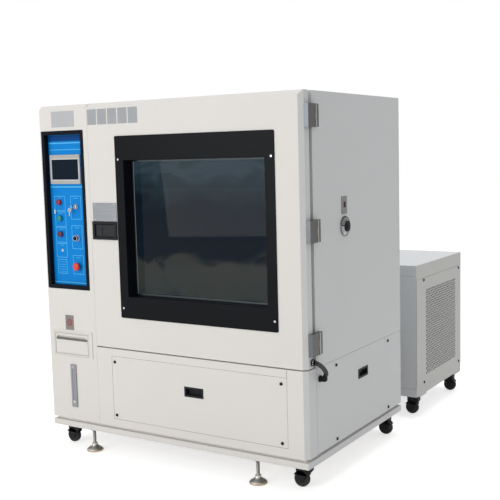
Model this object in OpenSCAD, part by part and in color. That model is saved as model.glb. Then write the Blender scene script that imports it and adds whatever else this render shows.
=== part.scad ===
// Walk-in height environmental test chamber with a condensing unit behind it.
// Shop frame: X to the right along the front, Y to the back, Z up from the floor,
// with the cabinet's left front corner at zero. The part frame is centred in plan.

/* [Cabinet] */
// Width of the cabinet
cab_w = 1500; // [1440:1:1560]
// Depth of the cabinet, front plane to back wall
cab_d = 1024; // [980:1:1080]
// Height of the cabinet above the floor
cab_h = 1749; // [1730:1:1800]
// Underside of the body above the floor
body_bottom = 162; // [156:1:175]
// Underside of the base frame above the floor
plinth_bottom = 120; // [112:1:124]
// Height of the shadow groove between base frame and body
groove_h = 13; // [8:1:16]
// How far the shadow groove is set in
groove_inset = 20; // [10:1:26]
// Bevel along the top and right front edges
edge_bevel = 19; // [8:1:24]
// Casing sheet thickness
sheet_t = 3; // [2:0.5:4]
// Depth of the front zone, front plane to casing front
front_depth = 86; // [82:1:100]
// Width of the control column
column_w = 314; // [308:1:316]
// Gap between column and door
seam_gap = 3; // [2:0.5:5]
// Top of the lower front panel
lower_top = 554; // [545:1:556]
// Seam height on the right side
side_seam = 552; // [540:1:560]
// Loose fit between pieces that do not move
fit_gap = 0.3; // [0.3:0.1:0.5]

/* [Base frame] */
// Width of the base frame tubes
rail_w = 60; // [56:1:80]
// Distance of the front feet from the front plane to their centre
foot_y = 45; // [42:1:50]
// Centre of the left feet from the left side
foot_x_left = 233; // [200:1:300]
// Centre of the right feet from the right side
foot_inset_right = 286; // [200:1:350]

/* [Levelling feet] */
// Radius of a foot pad
foot_pad_r = 41; // [30:1:48]
// Thickness of the pad rim
foot_rim_h = 9; // [5:1:14]
// Height of the pad and hub
foot_hub_h = 40; // [32:1:46]
// Radius of the threaded stem
foot_stem_r = 8; // [6:0.5:10]
// Radius of the locking nut over its corners
foot_nut_r = 17; // [15:0.5:20]
// Height of the locking nut
foot_nut_h = 15; // [10:1:18]

/* [Casters] */
// Wheel radius
wheel_r = 37; // [33:0.5:39]
// Wheel width
wheel_w = 26; // [18:1:30]
// Axle radius
axle_r = 6; // [4:0.5:8]
// Running clearance on the radius
run_gap = 0.06; // [0.02:0.01:0.1]
// Side play between wheel and fork cheek
wheel_play = 1.5; // [1:0.1:3]
// Thickness of a fork cheek
cheek_t = 4; // [3:0.5:6]
// Trail of a swivel caster
caster_trail = 26; // [18:1:30]
// Radius of the swivel stem
swivel_r = 9; // [7:0.5:12]
// Side length of the caster plate
plate_side = 96; // [84:1:110]
// Thickness of the caster plate
plate_t = 8; // [6:0.5:10]
// Inset of the caster axes from the cabinet sides
caster_inset_x = 64; // [63:1:72]
// Distance of the front caster axes from the front plane
caster_y_front = 104; // [100:1:130]
// Distance of the rear caster axes from the back
caster_y_rear = 54; // [52:1:80]

/* [Test space] */
// Insulated wall between the column and the test space
wall_left = 132; // [126:1:150]
// Insulated wall on the right of the test space
wall_right = 94; // [90:1:110]
// Insulated roof over the test space
wall_roof = 123; // [115:1:150]
// Floor of the test space
space_floor = 666; // [656:1:690]
// Zone behind the air duct for insulation and the fan motor
rear_zone = 148; // [140:1:170]
// Depth of the air duct behind the baffle
duct_d = 180; // [150:1:190]
// Liner sheet thickness
liner_t = 2; // [1.5:0.5:3]
// Width of the liner's front flange
flange_w = 34; // [30:1:38]
// Height of the upper shelf above the test space floor
shelf_upper = 354; // [300:1:420]
// Height of the lower shelf above the test space floor
shelf_lower = 84; // [60:1:140]
// Diameter of the shelf frame wire
shelf_rod = 10; // [8:0.5:12]
// Diameter of the shelf cross wires
shelf_wire = 5; // [4:0.5:7]
// Number of cross wires on a shelf
shelf_wires = 15; // [10:1:24]
// Radius of the air circulator wheel
fan_r = 140; // [110:1:160]
// Number of circulator blades
fan_blades = 10; // [6:1:14]

/* [Door] */
// Thickness of the door shell
door_t = 60; // [54:1:62]
// Thickness of the door's inner liner
door_liner_t = 6; // [4:0.5:8]
// Gap between the lower front and the door
door_gap = 6; // [4:1:12]
// Largest turn of the door that the hinges allow, clearance is cut for it
hinge_r = 11; // [9:0.5:12]
// Hinge pin radius
pin_r = 5; // [4:0.5:6]
// Hinge axis from the front plane
hinge_y = 92; // [90:1:96]
// Hinge axis from the cabinet side
hinge_out = 12; // [11.5:0.5:14]
// Length of each hinge
hinge_h = 98; // [84:1:120]
// Centre of the top hinge below the top of the door
hinge_drop = 106; // [90:1:140]
// Centre of the bottom hinge above the bottom of the door
hinge_rise = 104; // [80:1:140]
// Depth of the hinge leaf on the casing
hinge_leaf = 12; // [8:1:40]
// How far the leaf on the casing stands out
hinge_leaf_out = 18; // [16:0.5:18]

/* [Window] */
// Window panel from the left edge of the door
panel_left = 169; // [166:1:180]
// Window panel from the right edge of the door
panel_right = 134; // [120:1:150]
// Window panel above the bottom of the door
panel_rise = 155; // [140:1:170]
// Window panel below the top of the door
panel_drop = 161; // [150:1:180]
// Side border of the window panel
panel_side = 50; // [40:1:60]
// Bottom border of the window panel
panel_low = 104; // [90:1:115]
// Top border of the window panel
panel_top = 115; // [100:1:125]
// Thickness of the window panel
panel_t = 4; // [3:0.5:6]
// Wall of the window jamb
jamb_t = 2; // [1.5:0.5:3]
// Width of the metal edge round the glass
glass_lip = 9; // [6:1:14]
// Thickness of a glass pane
pane_t = 4; // [3:0.5:5]

/* [Door latch] */
// Latch from the left edge of the door
latch_left = 12; // [10:1:14]
// Width of the latch
latch_w = 152; // [140:1:154]
// Latch body above the bottom of the door
latch_rise = 532; // [500:1:550]
// Height of the latch body
latch_h = 88; // [80:1:92]
// Height of the brushed plate above the latch body
latch_plate_h = 90; // [80:1:100]
// How far the latch stands proud of the door
latch_proud = 8; // [6:0.5:10]
// Depth of the latch pocket behind the door face
latch_depth = 30; // [26:1:36]

/* [Control panel] */
// Left edge of the control bezel
bezel_x0 = 8; // [6:0.5:12]
// Control bezel from the right edge of the column
bezel_right = 27; // [22:1:34]
// Bottom edge of the control bezel
bezel_z0 = 834; // [820:1:850]
// Control bezel below the top of the column
bezel_drop = 124; // [110:1:140]
// Border of the control bezel
bezel_border = 20; // [16:1:24]
// Depth of the control plate behind the front plane
plate_depth = 26; // [20:1:32]
// Thickness of the control plate
ctrl_plate_t = 3; // [2:0.5:5]
// Left column of the controls
ctrl_left = 88; // [80:1:94]
// Right column of the controls
ctrl_right = 196; // [190:1:204]
// Radius of a push button
button_r = 11; // [9:0.5:13]
// Radius of the button collar
collar_r = 15; // [14.5:0.5:18]
// Radius of the emergency stop head
estop_r = 20; // [18:0.5:24]
// Width of the touch screen bezel
hmi_w = 202; // [190:1:204]
// Height of the touch screen bezel
hmi_h = 146; // [130:1:150]
// Bottom of the touch screen below the top of the control bezel
hmi_drop = 264; // [250:1:275]
// Depth of the touch screen's body behind the control plate
hmi_depth = 32; // [24:1:40]
// Left edge of the touch screen bezel
hmi_x0 = 38; // [34:1:42]

/* [Water drawer and gauge] */
// Left edge of the drawer opening
drawer_x0 = 43; // [40:1:50]
// Right edge of the drawer opening
drawer_x1 = 259; // [250:1:264]
// Bottom of the drawer opening
drawer_z0 = 503; // [500:1:510]
// Top of the drawer opening
drawer_z1 = 604; // [595:1:612]
// Depth of the drawer behind the front plane
drawer_d = 210; // [150:1:260]
// Border of the drawer frame
drawer_border = 20; // [15:1:22]
// Wall of the drawer tray
tray_wall = 3; // [2:0.5:4]
// Left edge of the level gauge
gauge_x0 = 136; // [125:1:150]
// Width of the level gauge
gauge_w = 36; // [30:1:44]
// Bottom of the level gauge
gauge_z0 = 228; // [210:1:250]
// Height of the level gauge
gauge_h = 222; // [180:1:240]

/* [Access panels] */
// Front access panel from the left edge of the lower front
acc_left = 94; // [80:1:110]
// Front access panel from the right edge of the lower front
acc_right = 100; // [85:1:120]
// Front access panel above the underside of the body
acc_rise = 40; // [34:1:50]
// Front access panel below the top of the lower front
acc_drop = 37; // [30:1:48]
// Thickness of the access panels
acc_t = 2; // [1.5:0.5:3]

/* [Cable port] */
// Centre of the cable port from the front plane
port_y = 384; // [360:1:420]
// Centre height of the cable port
port_z = 1149; // [1120:1:1180]
// Bore radius of the cable port
port_r = 24; // [20:1:28]
// Wall of the port tube
port_wall = 6; // [4:0.5:8]
// Radius of the outer port ring
port_flange_r = 46; // [42:1:52]
// How far the port ring stands out
port_out = 15; // [12:1:20]
// How far the plug stands out of the port ring
plug_proud = 8; // [4:1:20]

/* [Condensing unit] */
// Width of the condensing unit
unit_w = 700; // [660:1:740]
// Depth of the condensing unit
unit_d = 721; // [690:1:740]
// Top of the condensing unit
unit_h = 855; // [830:1:880]
// Gap between cabinet back and condensing unit
unit_gap = 263; // [240:1:290]
// How far the unit's right side is set in from the cabinet's
unit_inset = 15; // [10:1:20]
// Height of the unit's top cover
cover_h = 77; // [60:1:90]
// Unit casing sheet thickness
unit_sheet = 3; // [2:0.5:4]
// Radius of the panel perforations
perf_r = 5; // [4:0.5:6]
// Spacing of the panel perforations
perf_pitch = 22; // [20:1:26]
// Distance of the condenser fan's tips from the edge of the perforated field
cfan_margin = 61.5; // [50:0.5:80]
// Radius of the condenser fan's motor
cfan_motor_r = 45; // [40:1:50]
// Length of the condenser fan's motor
cfan_motor_l = 100; // [90:1:110]
// Radius of the condenser fan's hub
cfan_hub_r = 42; // [38:1:44]

/* [Hidden] */
$fn = 48;
eps = 0.01;

// Course of the conduit from the door's gland to the elbow on the side, the widest point
// of the part on the right
elbow_y = 118;
elbow_z = 500;
conduit_r = 10.5;
gland_y = 50;
gland_z = 586;
gland_l = 12;
conduit_a = [cab_w + gland_l + fit_gap, gland_y, gland_z];
conduit_b = [cab_w + gland_l + 46, gland_y, gland_z];
conduit_c = [cab_w + 58, elbow_y - 6, elbow_z + 50];
conduit_d = [cab_w + 24, elbow_y, elbow_z + 12];
conduit_rings = 14;
conduit_sides = 12;

// Extents of the whole part, and its plan centre
plug_out = port_out + plug_proud;
part_x0 = 0;
part_x1 = max([for (i = [0 : conduit_rings], p = ring(i)) p.x]);
part_y0 = -latch_proud;
unit_y0 = cab_d + unit_gap;
unit_y1 = unit_y0 + unit_d;
part_y1 = unit_y1;
origin_x = (part_x0 + part_x1) / 2;
origin_y = (part_y0 + part_y1) / 2;

plinth_top = body_bottom - groove_h;
door_x0 = column_w + seam_gap;
door_x1 = cab_w;
door_bottom = lower_top + door_gap;
door_in = door_t + door_liner_t;
flange_y = front_depth - liner_t;
space_x0 = column_w + wall_left;
space_x1 = cab_w - wall_right;
space_w = space_x1 - space_x0;
space_cx = (space_x0 + space_x1) / 2;
space_z0 = space_floor;
space_z1 = cab_h - wall_roof;
liner_back = cab_d - rear_zone;
baffle_y = liner_back - duct_d;
space_d = baffle_y - front_depth;
foot_x_right = cab_w - foot_inset_right;
hinge_top = cab_h - hinge_drop;
hinge_low = door_bottom + hinge_rise;
hinge_mid = floor((hinge_low + hinge_top) / 2);
panel_x0 = door_x0 + panel_left;
panel_x1 = door_x1 - panel_right;
panel_z0 = door_bottom + panel_rise;
panel_z1 = cab_h - panel_drop;
latch_x0 = door_x0 + latch_left;
latch_z0 = door_bottom + latch_rise;
bezel_x1 = column_w - bezel_right;
bezel_z1 = cab_h - bezel_drop;
hmi_z0 = bezel_z1 - hmi_drop;
acc_x0 = door_x0 + acc_left;
acc_x1 = cab_w - acc_right;
acc_z0 = body_bottom + acc_rise;
acc_z1 = lower_top - acc_drop;
win_x0 = panel_x0 + panel_side;
win_x1 = panel_x1 - panel_side;
win_z0 = panel_z0 + panel_low;
win_z1 = panel_z1 - panel_top;
unit_x1 = cab_w - unit_inset;
unit_x0 = unit_x1 - unit_w;
unit_bottom = plinth_bottom;
unit_deck = body_bottom + 3;
acc_recess = acc_t + fit_gap;

module in_part_frame() {
    translate([-origin_x, -origin_y, 0])
        children();
}

// A box between two corners
module block(x0, x1, y0, y1, z0, z1) {
    translate([x0, y0, z0])
        cube([x1 - x0, y1 - y0, z1 - z0]);
}

// A rectangular ring in the XZ plane, from y0 to y1
module frame_xz(x0, x1, z0, z1, left, right, low, top, y0, y1) {
    difference() {
        block(x0, x1, y0, y1, z0, z1);
        block(x0 + left, x1 - right, y0 - 1, y1 + 1, z0 + low, z1 - top);
    }
}

// A cylinder along Y from y0 to y1
module rod_y(x, z, r, y0, y1) {
    translate([x, y1, z])
        rotate([90, 0, 0])
            cylinder(r = r, h = y1 - y0);
}

// A cylinder along X from x0 to x1
module rod_x(y, z, r, x0, x1) {
    translate([x0, y, z])
        rotate([0, 90, 0])
            cylinder(r = r, h = x1 - x0);
}

// A disc with a rounded rim, along -Y, its back at y1
module cap_y(x, z, r, y0, y1, edge) {
    translate([x, y1, z])
        rotate([90, 0, 0])
            rotate_extrude()
                union() {
                    square([r - edge, y1 - y0]);
                    square([r, y1 - y0 - edge]);
                    translate([r - edge, y1 - y0 - edge])
                        circle(r = edge, $fn = 24);
                }
}

// Front slab with a bevel along the top edge, and along the right edge if asked
module bevelled_slab(x0, x1, y1, z0, z1, right_bevel, top_bevel) {
    difference() {
        block(x0, x1, 0, y1, z0, z1);
        if (top_bevel)
            translate([x0 - 1, 0, z1])
                rotate([0, 90, 0])
                    linear_extrude(height = x1 - x0 + 2)
                        polygon([[-1, -1], [edge_bevel, -1], [edge_bevel, 0], [0, edge_bevel],
                            [-1, edge_bevel]]);
        if (right_bevel)
            translate([x1, 0, z0 - 1])
                linear_extrude(height = z1 - z0 + 2)
                    polygon([[-edge_bevel, -1], [1, -1], [1, edge_bevel], [0, edge_bevel],
                        [-edge_bevel, 0]]);
    }
}

// Casters. The wheel's axle runs along Y; the head is at the origin, plate above.
caster_top = plinth_bottom - plate_t;
fork_half = wheel_w / 2 + wheel_play;
fork_top = caster_top - 0.5;
bridge_z = 2 * wheel_r + 5;

module caster_plate(x, y, bore) {
    difference() {
        block(x - plate_side / 2, x + plate_side / 2, y - plate_side / 2,
            y + plate_side / 2, plinth_bottom - plate_t, plinth_bottom);
        if (bore)
            translate([x, y, plinth_bottom - plate_t - 1])
                cylinder(r = swivel_r + run_gap, h = plate_t + 2);
    }
}

// Side outline of a fork: hooded over the wheel, tapering down to the axle
module fork_outline(trail) {
    union() {
        translate([trail, wheel_r])
            circle(r = 2.4 * axle_r);
        polygon([[trail - 2.4 * axle_r, wheel_r], [trail + 2.4 * axle_r, wheel_r],
            [max(trail, 0) + 24, bridge_z], [max(trail, 0) + 24, fork_top],
            [min(trail, 0) - 24, fork_top], [min(trail, 0) - 24, bridge_z]]);
    }
}

module caster_fork(x, y, trail, swivel) {
    top = swivel ? fork_top : caster_top;
    translate([x, y, 0])
        union() {
            for (s = [-1, 1])
                translate([0, s * (fork_half + cheek_t / 2) + cheek_t / 2, 0])
                    rotate([90, 0, 0])
                        linear_extrude(height = cheek_t)
                            fork_outline(trail);
            block(min(trail, 0) - 24, max(trail, 0) + 24, -fork_half - cheek_t,
                fork_half + cheek_t, bridge_z, top);
            translate([trail, fork_half + cheek_t, wheel_r])
                rotate([90, 0, 0])
                    cylinder(r = axle_r, h = 2 * (fork_half + cheek_t));
            if (swivel)
                translate([0, 0, bridge_z])
                    cylinder(r = swivel_r, h = plinth_bottom - 1 - bridge_z);
        }
}

module caster_wheel(x, y, trail) {
    translate([x + trail, y, wheel_r])
        rotate([90, 0, 0])
            rotate_extrude($fn = 64)
                difference() {
                    union() {
                        translate([axle_r + run_gap, -wheel_w / 2])
                            square([wheel_r - 4 - axle_r - run_gap, wheel_w]);
                        translate([axle_r + run_gap, -wheel_w / 2 + 4])
                            square([wheel_r - axle_r - run_gap, wheel_w - 8]);
                        for (s = [-1, 1])
                            translate([wheel_r - 4, s * (wheel_w / 2 - 4)])
                                circle(r = 4, $fn = 24);
                    }
                    for (s = [-1, 1])
                        translate([0.62 * wheel_r, s * wheel_w / 2])
                            circle(r = 4, $fn = 24);
                }
}

front_left = [caster_inset_x, caster_y_front];
front_right = [cab_w - caster_inset_x, caster_y_front];
rear_left = [caster_inset_x, cab_d - caster_y_rear];
rear_right = [cab_w - caster_inset_x, cab_d - caster_y_rear];
foot_rear_y = cab_d - foot_y;
unit_caster_y = 96;
unit_caster_y_rear = 56;
unit_caster_x = 49;
unit_trail = 18;
unit_fl = [unit_x0 + unit_caster_x, unit_y0 + unit_caster_y];
unit_fr = [unit_x1 - unit_caster_x, unit_y0 + unit_caster_y];
unit_rl = [unit_x0 + unit_caster_x, unit_y1 - unit_caster_y_rear];
unit_rr = [unit_x1 - unit_caster_x, unit_y1 - unit_caster_y_rear];

module base_frame() {
    color("#d9d7d0")
        in_part_frame()
            union() {
                difference() {
                    union() {
                        difference() {
                            block(0, cab_w, 0, cab_d, plinth_bottom, plinth_top);
                            block(rail_w, cab_w - rail_w, rail_w, cab_d - rail_w,
                                plinth_bottom - 1, plinth_top + 1);
                        }
                        for (x = [cab_w / 3, 2 * cab_w / 3])
                            block(x - rail_w / 2, x + rail_w / 2, rail_w - 1, cab_d - rail_w + 1,
                                plinth_bottom, plinth_top);
                        block(groove_inset, cab_w - groove_inset, groove_inset,
                            cab_d - groove_inset, body_bottom - 4, body_bottom);
                        difference() {
                            block(groove_inset, cab_w - groove_inset, groove_inset,
                                cab_d - groove_inset, plinth_top - 1, body_bottom);
                            block(groove_inset + 40, cab_w - groove_inset - 40,
                                groove_inset + 40, cab_d - groove_inset - 40,
                                plinth_top - 2, body_bottom + 1);
                        }
                        for (x = [foot_x_left, foot_x_right], y = [foot_y, foot_rear_y])
                            translate([x, y, plinth_bottom - foot_nut_h])
                                cylinder(r = foot_nut_r, h = foot_nut_h + 1, $fn = 6);
                    }
                    for (x = [foot_x_left, foot_x_right], y = [foot_y, foot_rear_y])
                        translate([x, y, plinth_bottom - foot_nut_h - 1])
                            cylinder(r = foot_stem_r + run_gap, h = foot_stem_space);
                }
                caster_plate(front_left.x, front_left.y, true);
                caster_plate(front_right.x, front_right.y, true);
                for (p = [rear_left, rear_right]) {
                    caster_plate(p.x, p.y, false);
                    caster_fork(p.x, p.y, 0, false);
                }
            }
}

foot_travel = 25;
foot_stem_top = plinth_bottom + 5;
foot_stem_space = foot_stem_top + foot_travel + 3 - plinth_bottom + foot_nut_h + 1;

module levelling_foot(x, y) {
    translate([x, y, 0])
        rotate_extrude()
            polygon([[0, 0], [foot_pad_r - 2, 0], [foot_pad_r, 2], [foot_pad_r, foot_rim_h],
                [foot_pad_r - 6, foot_rim_h + 5], [2 * foot_stem_r, foot_hub_h - 9],
                [1.7 * foot_stem_r, foot_hub_h], [foot_stem_r, foot_hub_h],
                [foot_stem_r, foot_stem_top - 2], [foot_stem_r - 2, foot_stem_top],
                [0, foot_stem_top]]);
}

// Casing: one sheet shell behind the front zone, open where the liner, the
// column, the rear louvres and the side access panel are.
liner_x0 = space_x0 - liner_t;
liner_x1 = space_x1 + liner_t;
liner_z0 = space_z0 - liner_t;
liner_z1 = space_z1 + liner_t;
rear_x0 = 180;
slot_w = 150;
slot_pitch = 185;
slot_cols = floor((cab_w - 2 * rear_x0 - 30) / slot_pitch);
rear_z0 = 220;
rear_z1 = 520;

module outer_casing() {
    color("#c9c8c3")
        in_part_frame()
            difference() {
                union() {
                    block(0, cab_w, front_depth, cab_d, side_seam, cab_h);
                    block(0, cab_w - acc_recess, front_depth, cab_d, body_bottom, side_seam + 1);
                }
                block(sheet_t, cab_w - sheet_t - acc_recess, front_depth + sheet_t,
                    cab_d - sheet_t, body_bottom + sheet_t, cab_h - sheet_t);
                block(liner_x0 - fit_gap, liner_x1 + fit_gap, front_depth - 1,
                    front_depth + sheet_t + 1, liner_z0 - fit_gap, liner_z1 + fit_gap);
                block(bezel_x0 + bezel_border, column_w - 30, front_depth - 1,
                    front_depth + sheet_t + 1, drawer_z0 - 20, bezel_z1 - 20);
                block(rear_x0, cab_w - rear_x0, cab_d - sheet_t - 1, cab_d + 1, rear_z0, rear_z1);
                block(cab_w - 40, cab_w + 1, front_depth + 12, cab_d - 40, body_bottom + 30,
                    side_seam - 30);
                rod_x(port_y, port_z, port_r + port_wall + fit_gap, cab_w - 60, cab_w + 1);
            }
}

module rear_panel() {
    color("#c9c8c3")
        in_part_frame()
            difference() {
                block(rear_x0 - 25, cab_w - rear_x0 + 25, cab_d, cab_d + acc_t, rear_z0 - 25,
                    rear_z1 + 25);
                for (row = [0 : 9], col = [0 : slot_cols - 1])
                    translate([rear_x0 + 30 + col * slot_pitch, cab_d - 1, rear_z0 + 15 + row * 27])
                        cube([slot_w, acc_t + 2, 10]);
            }
}

column_in = front_depth - fit_gap;

module column_front() {
    color("#e4e2dc")
        in_part_frame()
            difference() {
                bevelled_slab(0, column_w, column_in, body_bottom + fit_gap, cab_h, false, true);
                block(sheet_t, column_w - sheet_t, sheet_t, front_depth, body_bottom + sheet_t + fit_gap,
                    cab_h - edge_bevel - sheet_t);
                block(bezel_x0 + 8, bezel_x1 - 8, -1, sheet_t + 1, bezel_z0 + 8, bezel_z1 - 8);
                block(drawer_x0 - tray_wall - fit_gap, drawer_x1 + tray_wall + fit_gap, -1,
                    sheet_t + 1, drawer_z0 - tray_wall - fit_gap, drawer_z1 + tray_wall + fit_gap);
            }
}

module lower_front() {
    color("#e4e2dc")
        in_part_frame()
            difference() {
                bevelled_slab(column_w + seam_gap, cab_w, column_in, body_bottom + fit_gap,
                    lower_top, true, false);
                block(column_w + seam_gap + sheet_t, cab_w - sheet_t, edge_bevel + sheet_t,
                    front_depth, body_bottom + sheet_t, lower_top - sheet_t);
                block(column_w + seam_gap + sheet_t, cab_w - edge_bevel - sheet_t, sheet_t,
                    front_depth, body_bottom + sheet_t, lower_top - sheet_t);
                block(acc_x0 - fit_gap, acc_x1 + fit_gap, -1, acc_t, acc_z0 - fit_gap,
                    acc_z1 + fit_gap);
                block(acc_x0 + 30, acc_x1 - 30, -1, sheet_t + 1, acc_z0 + 30, acc_z1 - 30);
            }
}

pull_w = 108;
pull_h = 48;
pull_cx = (acc_x0 + acc_x1) / 2 - 4.5;
pull_cz = acc_z1 - 125;
side_pull_y = (front_depth + cab_d) / 2 + 6;
side_pull_z = side_seam - 121;
side_screw_front = 191;
side_screw_rear = 167;
screw_head_r = 6;

module front_access_panel() {
    color("#e4e2dc")
        in_part_frame()
            difference() {
                block(acc_x0, acc_x1, 0, acc_t, acc_z0, acc_z1);
                block(pull_cx - pull_w / 2 + 6, pull_cx + pull_w / 2 - 6, -1, acc_t + 1,
                    pull_cz - pull_h / 2 + 6, pull_cz + pull_h / 2 - 6);
            }
}

module side_access_panel() {
    color("#c2c2be")
        in_part_frame()
            difference() {
                block(cab_w - acc_t, cab_w, front_depth + 2, cab_d - 2, body_bottom + 3,
                    side_seam - 2);
                block(cab_w - acc_t - 1, cab_w + 1, side_pull_y - pull_w / 2 + 6,
                    side_pull_y + pull_w / 2 - 6, side_pull_z - pull_h / 2 + 6,
                    side_pull_z + pull_h / 2 - 6);
                rod_x(elbow_y, elbow_z, conduit_r + 2 + fit_gap, cab_w - acc_t - 1, cab_w + 1);
            }
}

// A dished finger pull: lip outside, pocket inside, laid in the XZ plane
module finger_pull() {
    difference() {
        union() {
            block(-pull_w / 2, pull_w / 2, -2, 0, -pull_h / 2, pull_h / 2);
            block(-pull_w / 2 + 6 + fit_gap, pull_w / 2 - 6 - fit_gap, -1, 22,
                -pull_h / 2 + 6 + fit_gap, pull_h / 2 - 6 - fit_gap);
        }
        block(-pull_w / 2 + 10, pull_w / 2 - 10, -3, 18, -pull_h / 2 + 10, pull_h / 2 - 10);
    }
}

module panel_fasteners() {
    color("#1c1d1f")
        in_part_frame()
            union() {
                translate([pull_cx, 0, pull_cz])
                    finger_pull();
                translate([cab_w, side_pull_y, side_pull_z])
                    rotate([0, 0, 90])
                        finger_pull();
                for (x = [acc_x0 + 18, acc_x1 - 28], z = [acc_z0 + 20, acc_z1 - 28])
                    rod_y(x, z, screw_head_r, -3, 0);
                for (y = [front_depth + side_screw_front, cab_d - side_screw_rear],
                     z = [body_bottom + 21, side_seam - 25])
                    rod_x(y, z, screw_head_r, cab_w, cab_w + 3);
                for (y = [unit_y0 + 108, unit_y1 - 43],
                     z = [unit_deck + 20, unit_h - cover_h - 14])
                    rod_x(y, z, screw_head_r, unit_x1, unit_x1 + 3);
            }
}

module chamber_liner() {
    color("#b9bcbf")
        in_part_frame()
            difference() {
                union() {
                    block(liner_x0, liner_x1, flange_y, liner_back + liner_t, liner_z0, liner_z1);
                    block(liner_x0 - flange_w, liner_x1 + flange_w, flange_y, front_depth,
                        liner_z0 - flange_w, liner_z1 + flange_w);
                }
                difference() {
                    block(space_x0, space_x1, flange_y - 1, liner_back, space_z0, space_z1);
                    for (z = [shelf_upper, shelf_lower], s = [0, 1])
                        translate([space_x0 + s * (space_w - shelf_ledge), front_depth + 20,
                            space_z0 + z - shelf_rod / 2 - fit_gap - 3])
                            cube([shelf_ledge, space_d - 40, 3]);
                }
                rod_x(port_y, port_z, port_r + port_wall + fit_gap, space_x1 - 1, space_x1 + 20);
                rod_y(space_cx, fan_z, shaft_r + 1, liner_back - 1, liner_back + liner_t + 1);
            }
}

shelf_ledge = 16;
fan_z = space_z1 - fan_r - 80;
shaft_r = 10;
motor_r = 75;
motor_y1 = cab_d - sheet_t - 30;
ins_x0 = column_w + 26;
baffle_pitch = 96;
baffle_n = floor((space_w / 2 - 60) / baffle_pitch);

module insulation() {
    color("#e8d9a0")
        in_part_frame()
            difference() {
                block(ins_x0, cab_w - sheet_t - acc_recess - fit_gap,
                    front_depth + sheet_t + fit_gap, cab_d - sheet_t - fit_gap, side_seam + 10,
                    cab_h - sheet_t - fit_gap);
                block(liner_x0 - fit_gap, liner_x1 + fit_gap, 0, liner_back + liner_t + fit_gap,
                    liner_z0 - fit_gap, liner_z1 + fit_gap);
                rod_x(port_y, port_z, port_r + port_wall + fit_gap, space_x1 - 10, cab_w);
                rod_y(space_cx, fan_z, motor_r + fit_gap, liner_back, motor_y1 + fit_gap);
            }
}

// A wire shelf: frame of round rod, cross wires resting through it
module wire_shelf(z) {
    x0 = space_x0 + 1.5 + shelf_rod / 2;
    x1 = space_x1 - 1.5 - shelf_rod / 2;
    y0 = front_depth + 24;
    y1 = baffle_y - 24;
    union() {
        for (y = [y0, (y0 + y1) / 2, y1])
            rod_x(y, z, shelf_rod / 2, x0, x1);
        for (x = [x0, x1])
            rod_y(x, z, shelf_rod / 2, y0, y1);
        for (x = [x0, x1], y = [y0, y1])
            translate([x, y, z])
                sphere(r = shelf_rod / 2, $fn = 24);
        for (i = [1 : shelf_wires])
            rod_y(x0 + i * (x1 - x0) / (shelf_wires + 1), z + shelf_rod / 2, shelf_wire / 2,
                y0, y1);
    }
}

module wire_shelves() {
    color("#c8cacc")
        in_part_frame() {
            wire_shelf(space_z0 + shelf_upper);
            wire_shelf(space_z0 + shelf_lower);
        }
}

module air_baffle() {
    color("#b4b7ba")
        in_part_frame()
            difference() {
                block(space_x0 + fit_gap, space_x1 - fit_gap, baffle_y, baffle_y + liner_t,
                    space_z0 + fit_gap, space_z1 - fit_gap);
                for (a = [0 : 30 : 330], r = [0.45, 0.85])
                    translate([space_cx, baffle_y + liner_t + 1, fan_z])
                        rotate([90, 0, 0])
                            rotate([0, 0, a])
                                translate([r * fan_r, 0, 0])
                                    cylinder(r = 14 * r + 6, h = liner_t + 2);
                for (i = [-baffle_n : baffle_n])
                    translate([space_cx + i * baffle_pitch - 36, baffle_y - 1, space_z0 + 40])
                        cube([72, liner_t + 2, 24]);
            }
}

module circulation_fan() {
    color("#8d9196")
        in_part_frame()
            translate([space_cx, baffle_y + 30, fan_z])
                rotate([-90, 0, 0])
                    union() {
                        difference() {
                            cylinder(r = fan_r, h = 3);
                            translate([0, 0, -1])
                                cylinder(r = shaft_r, h = 5);
                        }
                        for (i = [0 : fan_blades - 1])
                            rotate([0, 0, i * 360 / fan_blades])
                                translate([0.45 * fan_r, 0, 3])
                                    rotate([0, 0, 25])
                                        translate([0, -1.5, -0.5])
                                            cube([0.5 * fan_r, 3, 60.5]);
                        cylinder(r = 3 * shaft_r, h = 30);
                        cylinder(r = shaft_r, h = motor_y1 - 40 - baffle_y - 30);
                    }
}

module fan_motor() {
    color("#5b6670")
        in_part_frame()
            difference() {
                rod_y(space_cx, fan_z, motor_r, liner_back + liner_t, motor_y1);
                rod_y(space_cx, fan_z, shaft_r + run_gap, liner_back, motor_y1 - 38);
            }
}

// Door, all built closed
module door_shell() {
    rim = edge_bevel + sheet_t;
    color("#e9e7e1")
        in_part_frame()
            union() {
                difference() {
                    bevelled_slab(door_x0, door_x1, door_t, door_bottom, cab_h, true, true);
                    difference() {
                        block(door_x0 + sheet_t, door_x1 - rim, sheet_t, door_t - sheet_t,
                            door_bottom + sheet_t, cab_h - rim);
                        block(win_x0 - jamb_t - 12, win_x1 + jamb_t + 12, 0, door_t,
                            win_z0 - jamb_t - 12, win_z1 + jamb_t + 12);
                        block(latch_x0, latch_x0 + latch_w, 0, latch_depth + sheet_t,
                            latch_z0, latch_z0 + latch_h);
                    }
                    block(door_x0 + 40, door_x1 - 50, door_t - sheet_t - 1, door_t + 1,
                        door_bottom + 40, win_z0 - 30);
                    block(door_x0 + 40, door_x1 - 50, door_t - sheet_t - 1, door_t + 1,
                        win_z1 + 30, cab_h - 50);
                    block(win_x0 - jamb_t - fit_gap, win_x1 + jamb_t + fit_gap, -1, door_t + 1,
                        win_z0 - jamb_t - fit_gap, win_z1 + jamb_t + fit_gap);
                    block(latch_x0 + 8, latch_x0 + latch_w - 8, -1, latch_depth,
                        latch_z0 + 8, latch_z0 + latch_h - 8);
                }
                rod_x(gland_y, gland_z, conduit_r + 3, door_x1 - 4, door_x1 + gland_l);
            }
}

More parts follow.
